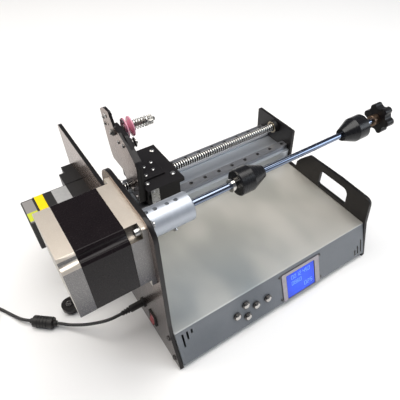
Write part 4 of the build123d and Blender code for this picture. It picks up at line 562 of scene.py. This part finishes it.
core = Finish("varnished_motor_core", Specular_IOR_Level=0.18)
SHEETS = 2000                        # stamped sheets in a metre
sheet_line = (core.axes()[0] * SHEETS).part().inside(0.12, 0.88, 0.12)
core_cloud = core.grain(0.02, 3.0)
core.set("Base Color", core.blend(sheet_line, (0.003, 0.002, 0.003), core.blend(
    core_cloud, (0.006, 0.004, 0.005), (0.013, 0.009, 0.010),
)))
core.set("Roughness", 0.20 + 0.12 * core.grain(0.002, 3.0))
core.relief(sheet_line + 0.3 * core.grain(0.004, 2.0), 0.00002, 0.3)
dress(core, "motor_stack")
break_edges(0.0004, "motor_end_bells", "motor_stack")

bright = Finish("bright_zinc_steel", Metallic=1.0)
bright_cloud = bright.grain(0.0022, 3.0)
bright.set("Base Color", bright.blend(bright_cloud, (0.42, 0.42, 0.43), (0.66, 0.65, 0.62)))
bright.set("Roughness", 0.20 + 0.18 * bright_cloud)
bright.relief(bright.grain(0.0008), 0.00004, 0.4)
dress(bright, "motor_bolts", "motor_shaft", "coupling_screws")


# ---------------------------------------------------------------- shaft coupling
# Turned from aluminium bar and clear anodised: a satin silver with the fine rings of the lathe tool. Set
# screws clamp it to the motor's shaft and the winding shaft, and a smaller one joins servo and ball screw.
turned = Finish("turned_satin_aluminium", Metallic=0.9)
ring = turned.grain(0.0006, 3.0, stretch=(1, 40, 40))
turned.set("Base Color", turned.blend(ring, (0.42, 0.45, 0.50), (0.55, 0.58, 0.63)))
turned.set("Roughness", 0.42 + 0.12 * ring)
turned.relief(ring, 0.00004, 0.35)
dress(turned, "shaft_coupling", "screw_coupling")


# ---------------------------------------------------------------- winding shaft
# An 8 mm ground and chromed rod that turns with the motor and carries cones and knob. Its dark navy
# colour in long streaks is a painted reflection of its surroundings.
ground = Finish("ground_chromed_rod", Metallic=1.0)
# Painted reflection: streaks along the rod between dark navy and a lighter blue.
painted_reflection_streak = ground.grain(0.0015, 2.0, stretch=(80, 1, 1))
ground.set("Base Color", ground.blend(painted_reflection_streak, (0.11, 0.14, 0.21), (0.28, 0.32, 0.40)))
ground.set("Roughness", 0.07 + 0.10 * painted_reflection_streak)
ground.relief(ground.grain(0.0007, stretch=(1, 30, 30)), 0.00001, 0.25)
dress(ground, "winding_shaft")


# ---------------------------------------------------------------- cones and collars
# The bobbin sits between two turned cones of black acetal. Each cone holds a short collar of chromed steel
# with a set screw, which clamps it to the shaft.
acetal = Finish("black_acetal", Specular_IOR_Level=0.35)
turning = acetal.grain(0.0005, 2.0, stretch=(1, 40, 40))
acetal.set("Base Color", acetal.blend(turning, (0.003, 0.003, 0.004), (0.010, 0.010, 0.011)))
acetal.set("Roughness", 0.20 + 0.12 * turning)
acetal.relief(turning, 0.00002, 0.2)
dress(acetal, "left_cone", "right_cone")
dress(chrome, "left_cone_collar", "right_cone_collar")


# ---------------------------------------------------------------- knob
# A star knob of black phenolic resin, glossy from its mould, screwed on the shaft's free end against a
# sleeve of browned brass.
phenolic = Finish("glossy_phenolic", Specular_IOR_Level=0.35)
phenolic_cloud = phenolic.grain(0.009, 3.0)
phenolic.set("Base Color", phenolic.blend(phenolic_cloud, (0.003, 0.003, 0.004), (0.010, 0.009, 0.010)))
phenolic.set("Roughness", 0.24 + 0.18 * phenolic_cloud)
phenolic.relief(phenolic.grain(0.0018), 0.00006, 0.4)
dress(phenolic, "star_knob")

browned = Finish("browned_brass", Metallic=1.0)
browned_ring = browned.grain(0.0005, 2.0, stretch=(1, 30, 30))
browned.set("Base Color", browned.blend(browned_ring, (0.13, 0.085, 0.06), (0.30, 0.21, 0.15)))
browned.set("Roughness", 0.26 + 0.16 * browned_ring)
browned.relief(browned_ring, 0.00005, 0.5)
dress(browned, "knob_sleeve")


# ---------------------------------------------------------------- linear module
# The base is an extruded aluminium profile, clear anodised, with the fine lengthwise lines of its die and
# darker grooves between its ribs. It is screwed to the cabinet's top between the plates.
profile = Finish("anodised_extrusion", Metallic=0.75)
drawn = profile.grain(0.0008, 3.0, stretch=(120, 1, 1))
profile.set("Base Color", profile.blend(drawn, (0.44, 0.47, 0.51), (0.56, 0.59, 0.63)))
profile.set("Roughness", 0.36 + 0.08 * drawn)
profile.relief(drawn, 0.00001, 0.15)
dress(profile, "module_base")

# The two guide rails are hardened and ground steel, with lengthwise grinding marks.
rail_steel = Finish("ground_rail_steel", Metallic=0.8)
rail_line = rail_steel.grain(0.0005, 3.0, stretch=(150, 1, 1))
rail_steel.set("Base Color", rail_steel.blend(rail_line, (0.22, 0.22, 0.24), (0.32, 0.33, 0.35)))
rail_steel.set("Roughness", 0.30 + 0.10 * rail_line)
rail_steel.relief(rail_line, 0.00001, 0.15)
dress(rail_steel, "linear_rails")


# ---------------------------------------------------------------- screw bearings
# A round black housing on the inner face of each side plate. The ball bearing in it shows its yellowish
# outer ring round the screw's end.
SCREW_Y, SCREW_Z = 225.3, 113.7
RING_IN, RING_OUT = 7.2, 9.4


def reach_from_screw(finish):
    """How far a point is from the ball screw's axis, in millimetres."""
    _, out_y, out_z = finish.axes()
    axis = at(0, SCREW_Y, SCREW_Z)
    out_y = out_y - axis.y
    out_z = out_z - axis.z
    return ((out_y * out_y + out_z * out_z) ** 0.5) * 1000


bearing = Finish("bearing_in_black_housing")
ring_share = reach_from_screw(bearing).inside(RING_IN, RING_OUT, 0.15)
bearing_cloud = bearing.grain(0.0015, 3.0)
bearing_black = bearing.blend(bearing_cloud, (0.006, 0.006, 0.006), (0.02, 0.018, 0.017))
bearing_ring = bearing.blend(bearing_cloud, (0.42, 0.35, 0.24), (0.66, 0.58, 0.44))
bearing.set("Base Color", bearing.blend(ring_share, bearing_black, bearing_ring))
bearing.set("Metallic", 0.2 + 0.75 * ring_share)
bearing.set("Roughness", 0.34 - 0.14 * ring_share + 0.1 * bearing_cloud)
bearing.relief(ring_share + 0.2 * bearing_cloud, 0.0001, 0.5)
dress(bearing, "screw_bearings")


# ---------------------------------------------------------------- ball screw
# A ground ball screw of 12 mm with a 4 mm lead: rounded grooves between narrow lands, with a painted
# highlight on the lands and painted shade in the grooves. Its ends are turned down and run in the bearing
# housings.
class Shape(Nodes):
    """A shape that follows a rule, made by geometry nodes with named sizes."""

    def __init__(self, name, sizes):
        super().__init__(bpy.data.node_groups.new(name, "GeometryNodeTree"))
        self.sizes = {}
        for size, kind in sizes.items():
            socket = self.tree.interface.new_socket(size, in_out="INPUT", socket_type=kind)
            self.sizes[size] = socket.identifier
        self.tree.interface.new_socket("Shape", in_out="OUTPUT", socket_type="NodeSocketGeometry")
        self.entry = self.tree.nodes.new("NodeGroupInput")

    def size(self, name):
        return Value(self, self.entry.outputs[name])

    def end(self, shape, finish):
        """Realizes copies, sets the finish and closes the tree."""
        whole = self.add("GeometryNodeRealizeInstances", values=[shape])
        dressed = self.add("GeometryNodeSetMaterial", values={"Geometry": whole, "Material": finish.material})
        output = self.tree.nodes.new("NodeGroupOutput")
        self.tree.links.new(dressed.socket, output.inputs[0])

    def make(self, name, place, **sizes):
        """The plain mesh that the rule gives for some sizes, moved to its place."""
        holder = bpy.data.objects.new(name, bpy.data.meshes.new(name + "_empty"))
        bpy.context.scene.collection.objects.link(holder)
        modifier = holder.modifiers.new(self.tree.name, "NODES")
        modifier.node_group = self.tree
        for size, value in sizes.items():
            modifier[self.sizes[size.replace("_", " ")]] = value
        evaluated = holder.evaluated_get(bpy.context.evaluated_depsgraph_get())
        mesh = bpy.data.meshes.new_from_object(evaluated)
        holder.modifiers.remove(modifier)
        bpy.data.objects.remove(holder)
        mesh.transform(place)
        return mesh


screw_steel = Finish("ground_screw_steel", Metallic=1.0)
# Painted highlight on the lands and painted shade, near black, in the grooves and on the turned ends.
land_highlight_share = reach_from_screw(screw_steel).rise(5.35, 5.85)
screw_steel.set("Base Color", screw_steel.blend(land_highlight_share, (0.035, 0.034, 0.033), (0.86, 0.85, 0.82)))
screw_steel.set("Roughness", 0.34 - 0.18 * land_highlight_share)
screw_steel.relief(screw_steel.grain(0.0006), 0.00002, 0.3)

thread = Shape("turned_thread", {
    "Radius": "NodeSocketFloat", "Length": "NodeSocketFloat", "Depth": "NodeSocketFloat",
    "Pitch": "NodeSocketFloat", "Groove Width": "NodeSocketFloat", "Sides": "NodeSocketInt",
    "Rings": "NodeSocketInt",
})
thread_bar = thread.add("GeometryNodeMeshCylinder", {"fill_type": "NGON"}, {
    "Vertices": thread.size("Sides"), "Side Segments": thread.size("Rings"),
    "Radius": thread.size("Radius"), "Depth": thread.size("Length"),
})
bar_x, bar_y, bar_z = thread.split(thread.add("GeometryNodeInputPosition"))
turn = bar_y.maths("ARCTAN2", bar_x) / (2 * math.pi)
phase = (bar_z / thread.size("Pitch") + turn + 400).part()
off_middle = ((phase - 0.5) * 2) / thread.size("Groove Width")
groove = (1 - off_middle * off_middle).at_least(0.0) ** 0.5
shrink = groove * thread.size("Depth") / thread.size("Radius")
thread_pull = thread.add("ShaderNodeCombineXYZ", values=[bar_x * shrink * -1, bar_y * shrink * -1, 0.0])
thread_cut = thread.add("GeometryNodeSetPosition", values={"Geometry": thread_bar, "Offset": thread_pull})
thread.end(thread_cut, screw_steel)


def along_x(x, y, z):
    """The turn and place that lays an upright shape along the machine's X, its middle at a place."""
    return Matrix.Translation(at(x, y, z)) @ Matrix.Rotation(math.pi / 2, 4, "Y")


def turned_bar(name, steps, y, z, sides=32):
    """A plain round bar along X, from its (x, radius) steps in millimetres, closed at both ends."""
    work = bmesh.new()
    rings = []
    turns = [2 * math.pi * k / sides for k in range(sides)]
    for x, radius in steps:
        rings.append([
            work.verts.new(at(x, y + radius * math.cos(turn), z + radius * math.sin(turn))) for turn in turns
        ])
    for low, top in zip(rings, rings[1:]):
        for k in range(sides):
            work.faces.new((low[k], low[(k + 1) % sides], top[(k + 1) % sides], top[k]))
    work.faces.new(rings[0])
    work.faces.new(list(reversed(rings[-1])))
    bmesh.ops.recalc_face_normals(work, faces=work.faces)
    mesh = bpy.data.meshes.new(name)
    work.to_mesh(mesh)
    work.free()
    return mesh


screw_low, screw_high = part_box("ball_screw")
screw_start = screw_low.x * 1000 + ORIGIN_X
screw_end = screw_high.x * 1000 + ORIGIN_X
THREAD_START, THREAD_END = 12.6, 314.4
THREAD_RING = 0.4                    # length of each ring of faces
CORE_R, END_R, END_CHAMFER = 4.9, 4.0, 0.4
screw_mesh = thread.make(
    "ball_screw_thread", along_x((THREAD_START + THREAD_END) / 2, SCREW_Y, SCREW_Z),
    Radius=0.006, Length=(THREAD_END - THREAD_START) / 1000, Depth=0.0010, Pitch=0.004, Groove_Width=0.66,
    Sides=28, Rings=int((THREAD_END - THREAD_START) / THREAD_RING),
)
screw_mesh.shade_smooth()
screw_piece = new_piece("ball_screw_thread", screw_mesh, screw_steel, "screw_body")
screw_ends = turned_bar("ball_screw_ends", [
    (screw_start, END_R - END_CHAMFER), (screw_start + END_CHAMFER, END_R), (THREAD_START - 0.01, END_R),
    (THREAD_START, CORE_R), (THREAD_END, CORE_R), (THREAD_END + 0.01, END_R),
    (screw_end - END_CHAMFER, END_R), (screw_end, END_R - END_CHAMFER),
], SCREW_Y, SCREW_Z)
screw_ends_piece = new_piece("ball_screw_ends", screw_ends, screw_steel, "screw_body")
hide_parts("ball_screw")
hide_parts("ball_screw")


# ---------------------------------------------------------------- servo motor
# A square servo motor, painted satin black. A broad yellow band of film goes round its rear end, and plain
# silver foil plates are stuck on its upper side.
CONNECTOR_Y, CONNECTOR_Z = 250.2, 0.088
BAND_X = at(-66.5, 0, 0).x, at(-55.5, 0, 0).x
FOIL_X = at(-44, 0, 0).x, at(-24, 0, 0).x
FOIL_Y = at(0, 203, 0).y, at(0, 247, 0).y
FOIL_EDGE = 0.0001
servo = Finish("black_servo_paint", Specular_IOR_Level=0.5)
servo_x, servo_y, servo_z = servo.axes()
servo_up = servo.facing()[2].rise(0.6, 0.8)
on_body = (servo_y < at(0, CONNECTOR_Y, 0).y) * (servo_z > CONNECTOR_Z)
band = servo_x.inside(*BAND_X, 0.00008) * on_body
foil = servo_x.inside(*FOIL_X, FOIL_EDGE) * servo_y.inside(*FOIL_Y, FOIL_EDGE) * servo_up * on_body
servo_paint = servo.blend(servo.grain(0.01, 3.0), (0.006, 0.005, 0.005), (0.013, 0.012, 0.012))
band_colour = servo.blend(servo.grain(0.006), (0.92, 0.60, 0.0), (1.0, 0.70, 0.0))
foil_colour = servo.blend(servo.grain(0.004), (0.46, 0.46, 0.46), (0.58, 0.58, 0.57))
servo.set("Base Color", servo.blend(foil, servo.blend(band, servo_paint, band_colour), foil_colour))
servo.set("Metallic", foil * 0.7)
servo.set("Roughness", 0.40 + 0.14 * servo.grain(0.002, 3.0) - 0.1 * band)
servo.relief(0.5 * servo.grain(0.001, 3.0) + band.at_least(foil), 0.00006, 0.5)
dress(servo, "servo_motor")

# Its rear cap is cast and painted the same, with a grey foil on top that is yellow-green at the front.
CAP_FOIL_X = at(-82.5, 0, 0).x, at(-69.5, 0, 0).x
CAP_FOIL_Y = at(0, 204, 0).y, at(0, 246, 0).y
CAP_MARK_Y = at(0, 206, 0).y, at(0, 222, 0).y
servo_end = Finish("servo_cap_paint", Specular_IOR_Level=0.5)
cap_x, cap_y, _ = servo_end.axes()
cap_up = servo_end.facing()[2].rise(0.6, 0.8)
cap_foil = cap_up * cap_y.inside(*CAP_FOIL_Y, FOIL_EDGE) * cap_x.inside(*CAP_FOIL_X, FOIL_EDGE)
cap_mark = cap_foil * cap_y.inside(*CAP_MARK_Y, FOIL_EDGE)
cap_colour = servo_end.blend(servo_end.grain(0.006), (0.016, 0.015, 0.015), (0.032, 0.029, 0.028))
cap_colour = servo_end.blend(cap_foil, cap_colour, (0.36, 0.34, 0.33))
servo_end.set("Base Color", servo_end.blend(cap_mark, cap_colour, (0.55, 0.60, 0.03)))
servo_end.set("Metallic", (cap_foil - cap_mark) * 0.6)
servo_end.set("Roughness", 0.40 + 0.14 * servo_end.grain(0.002, 3.0))
servo_end.relief(servo_end.grain(0.001, 3.0), 0.00006, 0.5)
dress(servo_end, "servo_cap")
break_edges(0.0004, "servo_motor", "servo_cap")


# ---------------------------------------------------------------- carriage
# Two guide blocks, a block that holds the ball nut, and a black anodised table plate screwed over them.
# The plate is satin black with softly broken edges, and its screws are bright zinc.
carriage_finish = Finish("satin_black_anodised", Specular_IOR_Level=0.32, Metallic=0.1)
carriage_cloud = carriage_finish.grain(0.02, 3.0)
carriage_colour = carriage_finish.blend(carriage_cloud, (0.006, 0.005, 0.006), (0.014, 0.012, 0.013))
carriage_finish.set("Base Color", carriage_colour)
carriage_finish.set("Roughness", 0.34 + 0.16 * carriage_finish.grain(0.003, 3.0))
carriage_finish.relief(carriage_finish.grain(0.0009, 3.0), 0.00006, 0.4)
dress(carriage_finish, "carriage_plate", "carriage_block", "tension_arm", "guide_bracket")
dress(rail_steel, "guide_blocks", "ball_nut")
dress(bright, "carriage_screws", "limit_tab")
# The guide plate takes the side plates' finish, with its painted sheen on the left face.
dress(plate_finish, "guide_plate")
break_edges(0.0003, "guide_plate", "tension_arm", "carriage_plate", "carriage_block", "guide_bracket")


# ---------------------------------------------------------------- guide wheel
# A small grooved wheel of blackened steel on its own axle. The wire runs over it on its way to the two
# discs, so it turns freely.
dress(dark_steel, "wire_pulley")


# ---------------------------------------------------------------- wire tension unit
# Two dished discs of pink ceramic-filled plastic squeeze the wire. A steel spring presses them together,
# and a thumb nut on the threaded rod sets its force.
pink = Finish("pink_disc_plastic", Specular_IOR_Level=0.5, Subsurface_Weight=0.12, Subsurface_Scale=0.002)
pink_cloud = pink.grain(0.004, 3.0)
pink.set("Base Color", pink.blend(pink_cloud, (0.60, 0.22, 0.32), (0.76, 0.36, 0.45)))
pink.set("Roughness", 0.26 + 0.16 * pink_cloud)
pink.relief(pink.grain(0.0009), 0.00004, 0.4)
dress(pink, "inner_tension_disc", "outer_tension_disc")
dress(bright, "tension_washer")

wire = Finish("oiled_spring_wire", Metallic=1.0)
wire_cloud = wire.grain(0.0012, 3.0)
wire.set("Base Color", wire.blend(wire_cloud, (0.16, 0.155, 0.14), (0.36, 0.35, 0.31)))
wire.set("Roughness", 0.24 + 0.16 * wire_cloud)
wire.relief(wire_cloud, 0.00003, 0.4)

# The spring is the CAD node's mesh with its doubled points merged, in spring wire, in place of the node.
spring_work = bmesh.new()
spring_work.from_mesh(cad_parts["tension_spring"].data)
bmesh.ops.remove_doubles(spring_work, verts=spring_work.verts, dist=0.00001)
disc_spring_mesh = bpy.data.meshes.new("disc_spring")
spring_work.to_mesh(disc_spring_mesh)
spring_work.free()
disc_spring_mesh.shade_smooth()
disc_spring_mesh.materials.append(wire.material)
disc_spring = bpy.data.objects.new("disc_spring", disc_spring_mesh)
bpy.context.scene.collection.objects.link(disc_spring)
TENSION_Y, TENSION_Z = 241.0, 196.3
spring_axis = at(0, TENSION_Y, TENSION_Z)
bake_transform(disc_spring)
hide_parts("tension_spring")


def turn_about_rod(finish):
    """How far round the tension unit's axis a point lies, in turns."""
    _, round_y, round_z = finish.axes()
    return (round_z - spring_axis.z).maths("ARCTAN2", round_y - spring_axis.y) / (2 * math.pi)


ROD_PITCH = 0.0008
rod_finish = Finish("threaded_zinc_rod", Metallic=1.0)
rod_phase = rod_finish.axes()[0] / ROD_PITCH + turn_about_rod(rod_finish)
# Painted shade: the thread's grooves are painted dark and its crests light.
rod_groove_and_shade = ((rod_phase + 400).part() - 0.5).size() * 2
rod_finish.set("Base Color", rod_finish.blend(rod_groove_and_shade, (0.16, 0.15, 0.14), (0.62, 0.61, 0.58)))
rod_finish.set("Roughness", 0.38 - 0.14 * rod_groove_and_shade)
rod_finish.relief(rod_groove_and_shade, 0.0004, 0.9)
dress(rod_finish, "tension_rod")

TEETH = 36
knurled = Finish("knurled_zinc_nut", Metallic=1.0)
# Painted shade: the knurl is painted dark between its teeth and light on them.
tooth_and_shade = ((turn_about_rod(knurled) * TEETH + 100).part() - 0.5).size() * 2
knurled.set("Base Color", knurled.blend(tooth_and_shade, (0.44, 0.43, 0.41), (0.78, 0.76, 0.72)))
knurled.set("Roughness", 0.34 - 0.12 * tooth_and_shade)
knurled.relief(tooth_and_shade * (1 - knurled.facing()[0].size().rise(0.5, 0.8)), 0.0004, 0.9)
dress(knurled, "thumb_nut")


# ---------------------------------------------------------------- table and studio
# A pale matt table top under three large soft lamps, in a dim grey room that is lighter towards the floor
# and darker overhead, which the metal parts mirror.
table = Finish("pale_table", Roughness=0.85, Specular_IOR_Level=0.2)
table.set("Base Color", table.blend(table.grain(0.4), (0.86, 0.86, 0.86), (0.88, 0.88, 0.88)))
TABLE_HALF = 6
table_signs = [(-1, -1), (1, -1), (1, 1), (-1, 1)]
table_work = bmesh.new()
table_corners = [table_work.verts.new((x * TABLE_HALF, y * TABLE_HALF, 0)) for x, y in table_signs]
table_work.faces.new(table_corners)
table_mesh = bpy.data.meshes.new("table_top")
table_work.to_mesh(table_mesh)
table_work.free()
table_mesh.materials.append(table.material)
table_top = bpy.data.objects.new("table_top", table_mesh)
bpy.context.scene.collection.objects.link(table_top)


def lamp(name, place, aim, power, width, height, colour):
    """A large soft lamp at a place, aimed at a point of the machine."""
    data = bpy.data.lights.new(name, "AREA")
    data.shape = "RECTANGLE"
    data.size = width
    data.size_y = height
    data.energy = power
    data.color = colour
    light = bpy.data.objects.new(name, data)
    bpy.context.scene.collection.objects.link(light)
    light.location = place
    way = Vector(aim) - Vector(place)
    light.rotation_euler = way.to_track_quat("-Z", "Y").to_euler()


lamp("window", (-1.5, 1.3, 1.7), (0, 0, 0.05), 26, 1.5, 1.2, (1.0, 0.94, 0.86))
lamp("ceiling", (0.2, -0.1, 2.4), (0, 0, 0.05), 70, 2.2, 2.2, (1.0, 0.98, 0.95))
lamp("doorway", (1.6, -1.4, 1.2), (0, 0, 0.08), 12, 0.7, 1.4, (0.86, 0.93, 1.0))
world = bpy.data.worlds.new("dim_room")
world.use_nodes = True
room = Nodes(world.node_tree)
room.tree.nodes.clear()
room_height = room.split(room.add("ShaderNodeTexCoord"))[2]
room_colour = room.add("ShaderNodeValToRGB", {"stops": [
    (0.0, (0.42, 0.41, 0.40)), (0.2, (0.24, 0.25, 0.28)),
    (0.45, (0.15, 0.16, 0.19)), (0.8, (0.11, 0.12, 0.14)),
]}, [room_height])
room_light = room.add("ShaderNodeBackground", values=[room_colour, 0.9])
room.add("ShaderNodeOutputWorld", values=[room_light])
bpy.context.scene.world = world
bpy.context.scene.view_settings.view_transform = "Standard"
